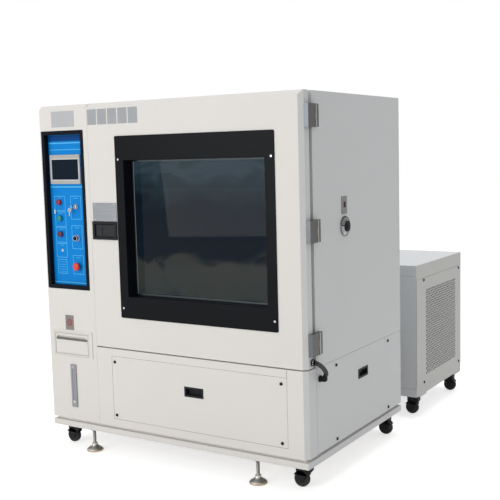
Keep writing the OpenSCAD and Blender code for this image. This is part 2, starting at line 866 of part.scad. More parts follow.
module door_liner() {
    color("#b9bcbf")
        in_part_frame()
            frame_xz(door_x0 + 20, door_x1 - 30, door_bottom + 20, cab_h - 25,
                win_x0 + glass_lip - door_x0 - 20, door_x1 - 30 - win_x1 + glass_lip,
                win_z0 + glass_lip - door_bottom - 20, cab_h - 25 - win_z1 + glass_lip,
                door_t, door_in);
}

module window_panel() {
    color("#17181c")
        in_part_frame()
            union() {
                frame_xz(panel_x0, panel_x1, panel_z0, panel_z1, panel_side, panel_side,
                    panel_low, panel_top, -panel_t, 0);
                frame_xz(win_x0 - jamb_t, win_x1 + jamb_t, win_z0 - jamb_t, win_z1 + jamb_t,
                    jamb_t, jamb_t, jamb_t, jamb_t, -1, door_t);
                for (x = [panel_x0 + 18, panel_x1 - 16], z = [panel_z0 + 48, panel_z1 - 111])
                    rod_y(x, z, 4, -panel_t - 2, -panel_t + 1);
            }
}

module window_glazing() {
    color("#3c5058", 0.5)
        in_part_frame() {
            block(win_x0 + glass_lip + 0.1, win_x1 - glass_lip - 0.1, door_t + 1, door_t + 1 + pane_t,
                win_z0 + glass_lip + 0.1, win_z1 - glass_lip - 0.1);
            block(win_x0 - 6, win_x1 + 6, door_in, door_in + pane_t, win_z0 - 6, win_z1 + 6);
        }
}

gasket_w = 20;

module door_gasket() {
    color("#2c2d30")
        in_part_frame()
            frame_xz(liner_x0 - flange_w + 6, liner_x1 + flange_w - 6, liner_z0 - flange_w + 6,
                liner_z1 + flange_w - 6, gasket_w, gasket_w, gasket_w, gasket_w, door_in,
                flange_y - fit_gap);
}

hinge_x = cab_w + hinge_out;
knuckle = hinge_h / 3;
hinge_heights = [hinge_low, hinge_mid, hinge_top];

module door_hinge_leaves() {
    color("#b7b6ae")
        in_part_frame()
            for (z = hinge_heights)
                difference() {
                    union() {
                        block(cab_w, cab_w + 20, 20, hinge_y - hinge_r - 2, z - hinge_h / 2,
                            z + hinge_h / 2);
                        block(cab_w + 1, cab_w + 20, hinge_y - hinge_r - 3, hinge_y - 2,
                            z - knuckle / 2 + fit_gap, z + knuckle / 2 - fit_gap);
                        translate([hinge_x, hinge_y, z - knuckle / 2 + fit_gap])
                            cylinder(r = hinge_r, h = knuckle - 2 * fit_gap);
                    }
                    translate([hinge_x, hinge_y, z - knuckle])
                        cylinder(r = pin_r + run_gap, h = 2 * knuckle);
                }
}

module hinge_frame_leaves() {
    color("#c4c2bb")
        in_part_frame()
            for (z = hinge_heights)
                union() {
                    block(cab_w, cab_w + hinge_leaf_out, hinge_y + hinge_r + 2,
                        hinge_y + hinge_r + 2 + hinge_leaf, z - hinge_h / 2, z + hinge_h / 2);
                    for (s = [-1, 1]) {
                        translate([hinge_x, hinge_y, z + s * knuckle - knuckle / 2])
                            cylinder(r = hinge_r, h = knuckle);
                        block(cab_w, cab_w + hinge_leaf_out, hinge_y + 2, hinge_y + hinge_r + 3,
                            z + s * knuckle - knuckle / 2, z + s * knuckle + knuckle / 2);
                    }
                    translate([hinge_x, hinge_y, z - hinge_h / 2])
                        cylinder(r = pin_r, h = hinge_h);
                }
}

// Paddle latch: frame on the door, dish behind it, paddle hinged on its top edge
paddle_x0 = latch_x0 + 14;
paddle_x1 = latch_x0 + latch_w - 14;
paddle_z1 = latch_z0 + latch_h - 18;
paddle_z0 = latch_z0 + 14;
paddle_y = 4;

module latch_housing() {
    color("#1b1c1f")
        in_part_frame() {
            difference() {
                union() {
                    block(latch_x0, latch_x0 + latch_w, -latch_proud, 0, latch_z0,
                        latch_z0 + latch_h);
                    block(latch_x0 + 8 + fit_gap, latch_x0 + latch_w - 8 - fit_gap, -1,
                        latch_depth - fit_gap, latch_z0 + 8 + fit_gap,
                        latch_z0 + latch_h - 8 - fit_gap);
                }
                block(paddle_x0 - fit_gap, paddle_x1 + fit_gap, -latch_proud - 1,
                    latch_depth - 4, latch_z0 + 12, latch_z0 + latch_h - 12);
                rod_x(paddle_y, paddle_z1, 3 + run_gap, paddle_x0 - 4, paddle_x1 + 4);
            }
            brushed_plate();
        }
}

module brushed_plate() {
    difference() {
        block(latch_x0 + 3, latch_x0 + latch_w - 1, -3, 0, latch_z0 + latch_h + fit_gap,
            latch_z0 + latch_h + latch_plate_h);
        for (s = [0.12, 0.88])
            rod_y(latch_x0 + s * latch_w, latch_z0 + latch_h + latch_plate_h - 10, 2, -4, -1);
    }
}

module latch_paddle() {
    color("#232427")
        in_part_frame()
            difference() {
                union() {
                    rod_x(paddle_y, paddle_z1, 5, paddle_x0, paddle_x1);
                    rod_x(paddle_y, paddle_z1, 3, paddle_x0 - 3.5, paddle_x1 + 3.5);
                    block(paddle_x0, paddle_x1, paddle_y - 5, paddle_y + 1, paddle_z0,
                        paddle_z1);
                    block(paddle_x0, paddle_x1, paddle_y - 5, paddle_y + 9, paddle_z0,
                        paddle_z0 + 5);
                }
                block((paddle_x0 + paddle_x1) / 2 - 22, (paddle_x0 + paddle_x1) / 2 + 22,
                    paddle_y - 6, paddle_y - 2, paddle_z0 + 8, paddle_z1 - 8);
            }
}

// Conduit from the door's gland to the elbow on the side

function bez(t) = pow(1 - t, 3) * conduit_a + 3 * t * pow(1 - t, 2) * conduit_b
    + 3 * t * t * (1 - t) * conduit_c + t * t * t * conduit_d;
function unit(v) = v / norm(v);
function ring(i) = let (t = i / conduit_rings, p = bez(t),
    d = unit(bez(min(1, t + 0.01)) - bez(max(0, t - 0.01))),
    u = unit(cross(d, [0.3, 1, 0.2])), v = cross(d, u))
    [for (k = [0 : conduit_sides - 1]) p + conduit_r * (cos(k * 360 / conduit_sides) * u
        + sin(k * 360 / conduit_sides) * v)];

module conduit_tube() {
    n = conduit_sides;
    points = [for (i = [0 : conduit_rings]) each ring(i)];
    sides = [for (i = [0 : conduit_rings - 1], k = [0 : n - 1])
        each [[i * n + k, (i + 1) * n + (k + 1) % n, i * n + (k + 1) % n],
            [i * n + k, (i + 1) * n + k, (i + 1) * n + (k + 1) % n]]];
    polyhedron(points = points, faces = concat([[for (k = [0 : n - 1]) k]], sides,
        [[for (k = [0 : n - 1]) conduit_rings * n + n - 1 - k]]));
}

module door_conduit() {
    color("#1d1f22")
        in_part_frame()
            union() {
                conduit_tube();
                rod_x(elbow_y, elbow_z, conduit_r + 2, cab_w - 8, cab_w + 24);
                translate([cab_w + 24, elbow_y, elbow_z])
                    sphere(r = conduit_r + 2);
                translate([cab_w + 24, elbow_y, elbow_z])
                    cylinder(r = conduit_r + 2, h = 14);
            }
}

// Control panel in the column
bezel_in = 6;

module control_bezel() {
    color("#191a1e")
        in_part_frame()
            union() {
                frame_xz(bezel_x0, bezel_x1, bezel_z0, bezel_z1, bezel_border, bezel_border,
                    bezel_border, bezel_border, -2, 0);
                frame_xz(bezel_x0 + 8 + fit_gap, bezel_x1 - 8 - fit_gap, bezel_z0 + 8 + fit_gap,
                    bezel_z1 - 8 - fit_gap, bezel_border - 8 - fit_gap,
                    bezel_border - 8 - fit_gap, bezel_border - 8 - fit_gap,
                    bezel_border - 8 - fit_gap, -1, plate_depth);
            }
}

// The rows of controls close up when the space under the touch screen does
row_fit = (hmi_z0 - bezel_z0) / 527;
power_z = bezel_z0 + 436 * row_fit;
run_z = bezel_z0 + 355 * row_fit;
alarm_z = bezel_z0 + 275 * row_fit;
buzzer_z = bezel_z0 + 201 * row_fit;
key_z = bezel_z0 + 413 * row_fit;
selector_z = bezel_z0 + 257 * row_fit;
estop_z = bezel_z0 + 115 * row_fit;
collar_h = 4;
collar_y = plate_depth - collar_h;

module ctrl_bore(x, z, r) {
    rod_y(x, z, r, collar_y - 1, plate_depth + ctrl_plate_t + 1);
}

module control_plate() {
    color("#1482dc")
        in_part_frame()
            difference() {
                union() {
                    block(bezel_x0 + 10, bezel_x1 - 10, plate_depth, plate_depth + ctrl_plate_t,
                        bezel_z0 + 10, bezel_z1 - 10);
                    for (z = [power_z, run_z, alarm_z])
                        rod_y(ctrl_left, z, collar_r, collar_y, plate_depth + 1);
                    rod_y(ctrl_right, key_z, collar_r, collar_y, plate_depth + 1);
                    rod_y(ctrl_right, selector_z, collar_r + 2, collar_y, plate_depth + 1);
                    rod_y(ctrl_right, estop_z, collar_r, collar_y, plate_depth + 1);
                    rod_y(ctrl_left, buzzer_z, 5, collar_y + 2, plate_depth + 1);
                }
                for (z = [power_z, run_z, alarm_z])
                    ctrl_bore(ctrl_left, z, button_r + run_gap);
                for (z = [key_z, selector_z, estop_z])
                    ctrl_bore(ctrl_right, z, button_r + run_gap);
                ctrl_bore(ctrl_left, buzzer_z, 2);
                block(hmi_x0 + 8 - fit_gap, hmi_x0 + hmi_w - 8 + fit_gap, plate_depth - 1,
                    plate_depth + ctrl_plate_t + 1, hmi_z0 + 8 - fit_gap,
                    hmi_z0 + hmi_h - 8 + fit_gap);
            }
}

module touch_screen() {
    color("#a4a5a3")
        in_part_frame()
            difference() {
                union() {
                    block(hmi_x0, hmi_x0 + hmi_w, plate_depth - 7, plate_depth, hmi_z0,
                        hmi_z0 + hmi_h);
                    block(hmi_x0 + 8, hmi_x0 + hmi_w - 8, plate_depth - 1, plate_depth + hmi_depth,
                        hmi_z0 + 8, hmi_z0 + hmi_h - 8);
                }
                block(hmi_x0 + 18, hmi_x0 + hmi_w - 18, plate_depth - 8, plate_depth - 5.5,
                    hmi_z0 + 22, hmi_z0 + hmi_h - 26);
            }
}

module push_button(z) {
    union() {
        cap_y(ctrl_left, z, button_r, plate_depth - 15, plate_depth + 14, 2);
    }
}

module power_button() {
    color("#d8232b")
        in_part_frame()
            push_button(power_z);
}

module run_button() {
    color("#12a04a")
        in_part_frame()
            push_button(run_z);
}

module alarm_button() {
    color("#8e1f26")
        in_part_frame()
            push_button(alarm_z);
}

module key_switch() {
    color("#8b8f94")
        in_part_frame()
            union() {
                rod_y(ctrl_right, key_z, button_r, collar_y - 4, plate_depth + 14);
                block(ctrl_right - 1.2, ctrl_right + 1.2, collar_y - 14, collar_y - 3, key_z - 4,
                    key_z + 4);
                rod_x(collar_y - 18, key_z, 11, ctrl_right - 1.2, ctrl_right + 1.2);
            }
}

module mode_selector() {
    color("#1c1d20")
        in_part_frame()
            union() {
                rod_y(ctrl_right, selector_z, button_r, collar_y - 2, plate_depth + 14);
                cap_y(ctrl_right, selector_z, 13, collar_y - 8, collar_y - 1, 2);
                block(ctrl_right - 4, ctrl_right + 4, collar_y - 18, collar_y - 7,
                    selector_z - 12, selector_z + 12);
            }
}

module emergency_stop() {
    color("#d01f26")
        in_part_frame()
            union() {
                cap_y(ctrl_right, estop_z, estop_r, plate_depth - 27, plate_depth - 13, 5);
                rod_y(ctrl_right, estop_z, button_r, plate_depth - 14, plate_depth + 14);
            }
}

module level_gauge() {
    color("#d9dbd8")
        in_part_frame() {
            difference() {
                block(gauge_x0, gauge_x0 + gauge_w, -6, 0, gauge_z0, gauge_z0 + gauge_h);
                block(gauge_x0 + gauge_w / 2 - 6, gauge_x0 + gauge_w / 2 + 6, -7, -0.5,
                    gauge_z0 + 28, gauge_z0 + gauge_h - 28);
                for (z = [gauge_z0 + 12, gauge_z0 + gauge_h - 12])
                    rod_y(gauge_x0 + gauge_w / 2, z, 3, -7, -4);
            }
            translate([gauge_x0 + gauge_w / 2, -4.2, gauge_z0 + 28.3])
                cylinder(r = 3.4, h = gauge_h - 56.6);
        }
}

sleeve_x0 = drawer_x0 - tray_wall;
sleeve_x1 = drawer_x1 + tray_wall;
sleeve_z0 = drawer_z0 - tray_wall;
sleeve_z1 = drawer_z1 + tray_wall;

module drawer_frame() {
    color("#dedcd6")
        in_part_frame()
            union() {
                frame_xz(drawer_x0 - drawer_border, drawer_x1 + drawer_border + 10,
                    drawer_z0 - drawer_border + 5, drawer_z1 + drawer_border, drawer_border,
                    drawer_border + 10, drawer_border - 5, drawer_border, -4, 0);
                difference() {
                    block(sleeve_x0, sleeve_x1, -1, drawer_d + 12, sleeve_z0, sleeve_z1);
                    block(drawer_x0, drawer_x1, -2, drawer_d + 9, drawer_z0, drawer_z1);
                }
            }
}

module water_drawer() {
    color("#e2e0da")
        in_part_frame()
            union() {
                difference() {
                    block(drawer_x0 + 0.5, drawer_x1 - 0.5, -3, 10, drawer_z0 + 0.5,
                        drawer_z1 - 0.5);
                    block(drawer_x0 + 12, drawer_x1 - 12, -4, 7, drawer_z1 - 24,
                        drawer_z1 - 12);
                }
                difference() {
                    block(drawer_x0 + 0.5, drawer_x1 - 0.5, 9, drawer_d, drawer_z0 + 0.5,
                        drawer_z1 - 26);
                    block(drawer_x0 + 0.5 + tray_wall, drawer_x1 - 0.5 - tray_wall, 10,
                        drawer_d - tray_wall, drawer_z0 + 0.5 + tray_wall, drawer_z1);
                }
            }
}

module cable_port() {
    color("#c3c4c2")
        in_part_frame() {
            difference() {
                union() {
                    rod_x(port_y, port_z, port_r + port_wall, space_x1 - 6, cab_w + 1);
                    rod_x(port_y, port_z, port_flange_r, cab_w, cab_w + 5);
                    translate([cab_w + 4, port_y, port_z])
                        rotate([0, 90, 0])
                            cylinder(r1 = port_flange_r - 4, r2 = port_r + port_wall + 2,
                                h = port_out - 4);
                }
                rod_x(port_y, port_z, port_r, space_x1 - 7, cab_w + port_out + 1);
            }
            difference() {
                block(cab_w, cab_w + 3, port_y - 29, port_y + 24, port_z + 56, port_z + 137);
                rod_x(port_y - 3, port_z + 100, 4, cab_w + 1, cab_w + 4);
            }
        }
}

module port_plug() {
    color("#1e1f21")
        in_part_frame()
            translate([space_x1 + 8, port_y, port_z])
                rotate([0, 90, 0])
                    rotate_extrude()
                        polygon([[0, 0], [port_r - 4, 0], [port_r - 0.3, 12],
                            [port_r - 0.3, plug_l - 6], [port_r - 2, plug_l - 3],
                            [port_r - 9, plug_l - 3], [port_r - 11, plug_l],
                            [0, plug_l]]);
}

plug_l = cab_w + plug_out - space_x1 - 8;

// Condensing unit behind the cabinet
module unit_base() {
    color("#b3b4b1")
        in_part_frame()
            union() {
                difference() {
                    block(unit_x0 + acc_recess, unit_x1 - acc_recess, unit_y0, unit_y1, unit_bottom,
                        unit_deck);
                    block(unit_x0 + 68, unit_x1 - 68, unit_y0 + 68, unit_y1 - 68,
                        unit_bottom - 1, unit_deck - 6);
                    for (p = [unit_fl, unit_fr])
                        translate([p.x, p.y, unit_bottom - 1])
                            cylinder(r = swivel_r + 1, h = 5);
                }
                for (p = [unit_fl, unit_fr])
                    caster_plate(p.x, p.y, true);
                for (p = [unit_rl, unit_rr]) {
                    caster_plate(p.x, p.y, false);
                    caster_fork(p.x, p.y, 0, false);
                }
            }
}

unit_seam = unit_h - cover_h;

module unit_casing() {
    color("#c6c7c4")
        in_part_frame()
            difference() {
                union() {
                    block(unit_x0, unit_x1, unit_y0, unit_y1, unit_seam, unit_h);
                    block(unit_x0 + acc_recess, unit_x1 - acc_recess, unit_y0, unit_y1,
                        unit_deck, unit_seam + 1);
                }
                block(unit_x0 + acc_recess + unit_sheet, unit_x1 - acc_recess - unit_sheet,
                    unit_y0 + unit_sheet, unit_y1 - unit_sheet, unit_deck - 1,
                    unit_h - unit_sheet);
                block(unit_x0 - 1, unit_x1 + 1, unit_y0 + 40, unit_y1 - 40, unit_deck + 40,
                    unit_seam - 40);
                rod_y(line_x, line_z, line_r + fit_gap, unit_y0 - 1, unit_y0 + unit_sheet + 1);
                rod_y(line_x + line_step, line_z, line_r_small + fit_gap, unit_y0 - 1,
                    unit_y0 + unit_sheet + 1);
            }
}

perf_y0 = unit_y0 + 153;
perf_y1 = unit_y1 - 98;
perf_z0 = unit_deck + 72;
perf_z1 = unit_seam - 78;
perf_rise = perf_pitch * 0.866;
louvre_step = 36;

module perforated_sheet() {
    rows = floor((perf_z1 - perf_z0) / perf_rise);
    cols = floor((perf_y1 - perf_y0) / perf_pitch);
    linear_extrude(height = acc_t)
        difference() {
            translate([unit_y0 + 2, unit_deck + 2])
                square([unit_y1 - unit_y0 - 4, unit_seam - unit_deck - 4]);
            for (i = [0 : rows - 1], j = [0 : cols - 1])
                translate([perf_y0 + (j + 0.5 + (i % 2) / 2) * perf_pitch,
                    perf_z0 + (i + 0.5) * perf_rise])
                    circle(r = perf_r, $fn = 16);
        }
}

module louvred_sheet() {
    slots = floor((perf_z1 - perf_z0) / louvre_step);
    linear_extrude(height = acc_t)
        difference() {
            translate([unit_y0 + 2, unit_deck + 2])
                square([unit_y1 - unit_y0 - 4, unit_seam - unit_deck - 4]);
            for (i = [0 : slots - 1])
                translate([perf_y0, perf_z0 + i * louvre_step])
                    square([perf_y1 - perf_y0, louvre_step / 3]);
        }
}

module unit_side_panels() {
    color("#bebfbc")
        in_part_frame() {
            translate([unit_x1 - acc_t, 0, 0])
                rotate([90, 0, 90])
                    perforated_sheet();
            translate([unit_x0, 0, 0])
                rotate([90, 0, 90])
                    louvred_sheet();
        }
}

coil_x1 = unit_x1 - acc_recess - unit_sheet - 12;
coil_t = 44;
cfan_x = coil_x1 - coil_t - 40;
cfan_y = (perf_y0 + perf_y1) / 2;
cfan_z = (perf_z0 + perf_z1) / 2;
cfan_r = (perf_z1 - perf_z0) / 2 - cfan_margin;
cfan_shaft_r = 8;
cfan_shaft_l = 80;
motor_x1 = cfan_x - 30;
motor_x0 = motor_x1 - cfan_motor_l;
comp_x = unit_x0 + 240;
comp_y = unit_y0 + 300;

module condensing_set() {
    color("#3b4148")
        in_part_frame() {
            translate([comp_x, comp_y, unit_deck])
                rotate_extrude()
                    union() {
                        square([110, 8]);
                        square([95, 200]);
                        intersection() {
                            square([95, 300]);
                            translate([0, 200])
                                scale([1, 1])
                                    circle(r = 95);
                        }
                    }
            difference() {
                block(coil_x1 - coil_t, coil_x1, perf_y0 - 20, perf_y1 + 20, unit_deck, perf_z1 + 20);
                for (z = [perf_z0 : 14 : perf_z1 - 10])
                    block(coil_x1 - 6, coil_x1 + 1, perf_y0, perf_y1, z, z + 8);
            }
            difference() {
                block(cfan_x - 14, coil_x1 - coil_t, perf_y0 - 10, perf_y1 + 10, unit_deck,
                    perf_z1 + 10);
                rod_x(cfan_y, cfan_z, cfan_r + 6, cfan_x - 15, coil_x1 - coil_t + 1);
            }
            union() {
                difference() {
                    rod_x(cfan_y, cfan_z, cfan_motor_r, motor_x0, motor_x1);
                    rod_x(cfan_y, cfan_z, cfan_shaft_r + run_gap, cfan_x - cfan_shaft_l - 10,
                        motor_x1 + 1);
                }
                block(motor_x0 + 20, motor_x1 - 20, cfan_y - 20, cfan_y + 20, unit_deck,
                    cfan_z - cfan_motor_r + 15);
                block(motor_x0, motor_x1 - 10, cfan_y - 60, cfan_y + 60, unit_deck, unit_deck + 6);
            }
        }
}

module condenser_fan() {
    color("#202225")
        in_part_frame()
            translate([cfan_x, cfan_y, cfan_z])
                rotate([0, 90, 0])
                    union() {
                        cylinder(r = cfan_hub_r, h = 26);
                        translate([0, 0, -cfan_shaft_l])
                            cylinder(r = cfan_shaft_r, h = cfan_shaft_l + 1);
                        for (i = [0 : 4])
                            rotate([0, 0, i * 72])
                                translate([cfan_hub_r - 6, 0, 13])
                                    rotate([28, 0, 0])
                                        translate([0, -cfan_hub_r, -1.5])
                                            cube([cfan_r - cfan_hub_r + 4, 2 * cfan_hub_r, 3]);
                    }
}

line_x = unit_x0 + 335;
line_step = 70;
line_z = 330;
line_r = 22;
line_r_small = 14;

module refrigerant_lines() {
    color("#26282b")
        in_part_frame() {
            rod_y(line_x, line_z, line_r, cab_d + acc_t, unit_y0 + 60);
            rod_y(line_x + line_step, line_z, line_r_small, cab_d + acc_t, unit_y0 + 60);
        }
}

module fork_of(p, trail) {
    color("#1a1b1d")
        in_part_frame()
            caster_fork(p.x, p.y, trail, true);
}

module wheel_of(p, trail) {
    color("#1f2022")
        in_part_frame()
            caster_wheel(p.x, p.y, trail);
}

module foot_of(x, y) {
    color("#b49a84")
        in_part_frame()
            levelling_foot(x, y);
}

base_frame();
outer_casing();
rear_panel();
column_front();
lower_front();
front_access_panel();
side_access_panel();
panel_fasteners();
chamber_liner();
insulation();
wire_shelves();
air_baffle();
circulation_fan();
fan_motor();
door_shell();
door_liner();
window_panel();
window_glazing();
door_gasket();
door_hinge_leaves();
hinge_frame_leaves();
latch_housing();
latch_paddle();
door_conduit();
control_bezel();
control_plate();
touch_screen();
power_button();
run_button();
alarm_button();
key_switch();
mode_selector();
emergency_stop();
level_gauge();
drawer_frame();
water_drawer();
cable_port();
port_plug();
fork_of(front_left, -caster_trail);  // caster_fork_front_left
fork_of(front_right, -caster_trail);  // caster_fork_front_right
wheel_of(front_left, -caster_trail);  // caster_wheel_front_left
wheel_of(front_right, -caster_trail);  // caster_wheel_front_right
wheel_of(rear_left, 0);  // caster_wheel_rear_left
wheel_of(rear_right, 0);  // caster_wheel_rear_right
foot_of(foot_x_left, foot_y);  // foot_front_left
foot_of(foot_x_right, foot_y);  // foot_front_right
foot_of(foot_x_left, foot_rear_y);  // foot_rear_left
foot_of(foot_x_right, foot_rear_y);  // foot_rear_right
unit_base();
unit_casing();
unit_side_panels();
condensing_set();
condenser_fan();
refrigerant_lines();
fork_of(unit_fl, -unit_trail);  // unit_caster_fork_front_left
fork_of(unit_fr, -unit_trail);  // unit_caster_fork_front_right
wheel_of(unit_fl, -unit_trail);  // unit_caster_wheel_front_left
wheel_of(unit_fr, -unit_trail);  // unit_caster_wheel_front_right
wheel_of(unit_rl, 0);  // unit_caster_wheel_rear_left
wheel_of(unit_rr, 0);  // unit_caster_wheel_rear_right
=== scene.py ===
import math

import bmesh
import bpy
from mathutils import Matrix, Vector


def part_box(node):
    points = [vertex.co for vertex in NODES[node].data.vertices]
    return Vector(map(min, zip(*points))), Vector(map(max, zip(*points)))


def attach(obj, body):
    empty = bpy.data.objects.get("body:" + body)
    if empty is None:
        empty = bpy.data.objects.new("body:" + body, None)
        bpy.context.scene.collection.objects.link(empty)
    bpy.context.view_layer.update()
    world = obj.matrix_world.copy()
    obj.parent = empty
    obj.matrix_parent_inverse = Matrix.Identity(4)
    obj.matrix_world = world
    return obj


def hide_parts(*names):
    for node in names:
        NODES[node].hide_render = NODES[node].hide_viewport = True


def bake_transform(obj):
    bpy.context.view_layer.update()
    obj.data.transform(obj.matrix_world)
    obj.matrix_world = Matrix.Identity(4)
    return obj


bl_info = {
    "name": "Climatic test chamber",
    "version": (1, 0, 0),
    "blender": (4, 5, 0),
    "location": "View3D > Sidebar > Chamber",
    "description": "Dresses the packed test chamber with finished surfaces, trims and lights",
    "category": "Object",
}

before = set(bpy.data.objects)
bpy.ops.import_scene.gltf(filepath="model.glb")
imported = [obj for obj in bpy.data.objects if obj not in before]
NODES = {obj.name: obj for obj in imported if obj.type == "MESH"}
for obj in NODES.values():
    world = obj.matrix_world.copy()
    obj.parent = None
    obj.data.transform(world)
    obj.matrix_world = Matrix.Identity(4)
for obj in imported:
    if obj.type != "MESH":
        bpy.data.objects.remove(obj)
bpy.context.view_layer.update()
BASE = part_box("base_frame")
# Left front corner of the base frame on the floor: every shop size is measured from it, in mm
CORNER = Vector((BASE[0][0], BASE[0][1], 0.0))

# Shop sizes in mm
FORK_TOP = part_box("caster_fork_front_left")[1][2] * 1000 - 7  # fixed forks are black below it
PORT_FLANGE = 46  # radius of the cable port's flange
LATCH_PLATE_Z = 1180.2  # lower edge of the brushed plate over the latch
LATCH_SCREW_Z = 1190  # height of that plate's lower screws
HEADER_Z = 1574  # lower edge of the control plate's darker header
SIDE_SCREW_Y = (277, 857)  # depth of the side access panel's screws
CASING_RIGHT = 1500  # the casing's right side
PERFORATED_Z = (222, 716)  # heights between which the unit's side has its holes
BACKING_Z = (212, 726)  # lower and upper edge of the dark sheet behind them, a painted shade of the unit's inside
HOOD_START, HOOD_SPAN = 28, 124  # arc of a caster's hood in degrees, counted from its right
SEAL_WIDTH = 20
BEZEL_WIDTH = 20
SHARP = 0.6  # radians between two faces from which their edge is rounded

# Low and high corner of a box round each finger pull
PULLS = (((847, 0, 360), (955, 30, 425)), ((1470, 500, 400), (1510, 625, 460)))

# Bare plates: five in a row on the door, and x0, x1, z0, z1 of the two on the column
LABEL_LEFTS, LABEL_WIDTH, LABEL_Z = (320, 383, 446.5, 510, 573), 56, (1646, 1720)
BADGE, SIGN = (82, 232, 1642, 1720), (113, 169, 626, 701)
SIGN_CENTRE = (142, -1.0, 664)

# Collars on the control plate: x, z and radius; the last one is the mode selector's
COLLARS = ((88, 1270, 15), (88, 1189, 15), (88, 1109, 15), (196, 1247, 15), (196, 1091, 17.5))

# Frames and lines printed on the control plate: x0, x1, z0, z1
PRINT_FRAMES = ((52, 124, 1226, 1300), (52, 124, 1146, 1222), (52, 124, 1066, 1142),
                (52, 124, 990, 1062), (160, 230, 1184, 1302), (160, 230, 1036, 1154),
                (160, 230, 908, 1004), (56, 118, 908, 980))
PRINT_WIDTH = 2.4
PRINT_LINES = ([(64, 110, 966 - k * 12, 967.4 - k * 12) for k in range(5)]
               + [(30, 264, 1344, 1349), (30, 264, 862, 866), (34, 260, 1562, 1567),
                  (34, 260, 1530, 1533)]
               + [(88 - 12, 88 + 12, z - 1, z + 1) for z in (1290, 1212, 1132, 1052)]
               + [(196 - 14, 196 + 14, z - 1, z + 1) for z in (1290, 1142, 992)])

# Course of the conduit from the door's gland to the elbow on the side, as a cubic curve
CONDUIT = ((1512.3, 50, 586), (1530, 66, 581), (1547, 122, 530), (1524, 118, 512))
ELBOW = (1524, 118, 500)
RIB = (0.0105, 0.0102, 0.0074, 0.0074)  # radii of a rib's four rings, in m

QUARTER = math.pi / 2
TURNS = {"X": Matrix.Rotation(QUARTER, 4, "Y"), "-Y": Matrix.Rotation(QUARTER, 4, "X"),
         "Z": Matrix.Identity(4)}
GROUPS = {}
FINISH = {}


def at(x, y, z):
    """A point in shop millimetres, in the row frame in metres."""
    return CORNER + Vector((x, y, z)) / 1000.0


def shop(node):
    """A node's box in shop millimetres: low corner, high corner."""
    low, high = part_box(node)
    return (Vector(low) - CORNER) * 1000.0, (Vector(high) - CORNER) * 1000.0


def centre(node):
    """The middle of a node's box in shop millimetres: x, y, z."""
    return [(a + b) / 2 for a, b in zip(*shop(node))]


def outline(node):
    """A node's XZ outline in shop millimetres: x0, x1, z0, z1."""
    low, high = shop(node)
    return low.x, high.x, low.z, high.z


def widen(rect, grow):
    """An XZ outline grown by some mm on every side."""
    return rect[0] - grow, rect[1] + grow, rect[2] - grow, rect[3] + grow


# Mesh helpers

def bevel(bm, edges, width, segments=2, clamp=True):
    """Rounds edges by a width in mm."""
    bmesh.ops.bevel(bm, geom=edges, offset=width / 1000, segments=segments, profile=0.5,
                    affect="EDGES", material=-1, clamp_overlap=clamp)


def edges_of(verts):
    """Every edge at these vertices once; unlike a set's, their order is the same in each run."""
    return list(dict.fromkeys(e for v in verts for e in v.link_edges))


def faces_of(verts):
    """Every face at these vertices once, in the same order in each run."""
    return list(dict.fromkeys(f for v in verts for f in v.link_faces))


def sharp_edges(bm, angle=SHARP):
    return [e for e in bm.edges if len(e.link_faces) == 2 and e.calc_face_angle(0.0) > angle]


def drop(bm, unwanted):
    """Deletes the vertices whose place the test picks out, and so whole loose parts."""
    bmesh.ops.delete(bm, geom=[v for v in bm.verts if unwanted(v.co)], context="VERTS")


def build(*steps):
    """A new bmesh with the shape of each step, given as a helper and its arguments."""
    bm = bmesh.new()
    for helper, *values in steps:
        helper(bm, *values)
    return bm


def add_block(bm, x0, x1, y0, y1, z0, z1, edge=0.8, segments=2):
    """A box between two corners in mm, its edges rounded by edge."""
    low, high = at(x0, y0, z0), at(x1, y1, z1)
    size = high - low
    place = Matrix.Translation((low + high) / 2) @ Matrix.Diagonal((size.x, size.y, size.z, 1))
    made = bmesh.ops.create_cube(bm, size=1.0, matrix=place)["verts"]
    if edge > 0:
        bevel(bm, edges_of(made), edge, segments)


def add_drum(bm, foot, radius, height, steps, edge):
    """An upright cylinder on its foot's centre, sizes in mm; its rims rounded by edge."""
    place = Matrix.Translation(at(*foot)) @ Matrix.Translation((0, 0, height / 2000))
    made = bmesh.ops.create_cone(bm, cap_ends=True, segments=steps, radius1=radius / 1000,
                                 radius2=radius / 1000, depth=height / 1000,
                                 matrix=place)["verts"]
    bevel(bm, [e for e in edges_of(made) if any(len(f.verts) > 4 for f in e.link_faces)], edge)


def add_lathe(bm, axis, start, profile, steps=40):
    """A turned shape: profile is (radius, height) in mm along an axis from its start."""
    verts = [bm.verts.new((r / 1000, 0, h / 1000)) for r, h in profile]
    edges = [bm.edges.new(pair) for pair in zip(verts, verts[1:])]
    bmesh.ops.spin(bm, geom=verts + edges, cent=(0, 0, 0), axis=(0, 0, 1),
                   angle=2 * math.pi, steps=steps, use_merge=True, use_duplicate=False)
    made = dict.fromkeys(verts)
    grow = verts
    while grow:
        near = dict.fromkeys(e.other_vert(v) for v in grow for e in v.link_edges)
        grow = [v for v in near if v not in made]
        made.update(dict.fromkeys(grow))
    bmesh.ops.remove_doubles(bm, verts=list(made), dist=1e-6)
    made = [v for v in made if v.is_valid]
    bmesh.ops.recalc_face_normals(bm, faces=faces_of(made))
    bmesh.ops.transform(bm, matrix=Matrix.Translation(at(*start)) @ TURNS[axis], verts=made)


def extrude_back(bm, faces, depth):
    """Pushes flat faces back along Y by a depth in mm and returns the new vertices."""
    pushed = bmesh.ops.extrude_face_region(bm, geom=faces)["geom"]
    back = [g for g in pushed if isinstance(g, bmesh.types.BMVert)]
    bmesh.ops.translate(bm, verts=back, vec=(0, depth / 1000, 0))
    return back


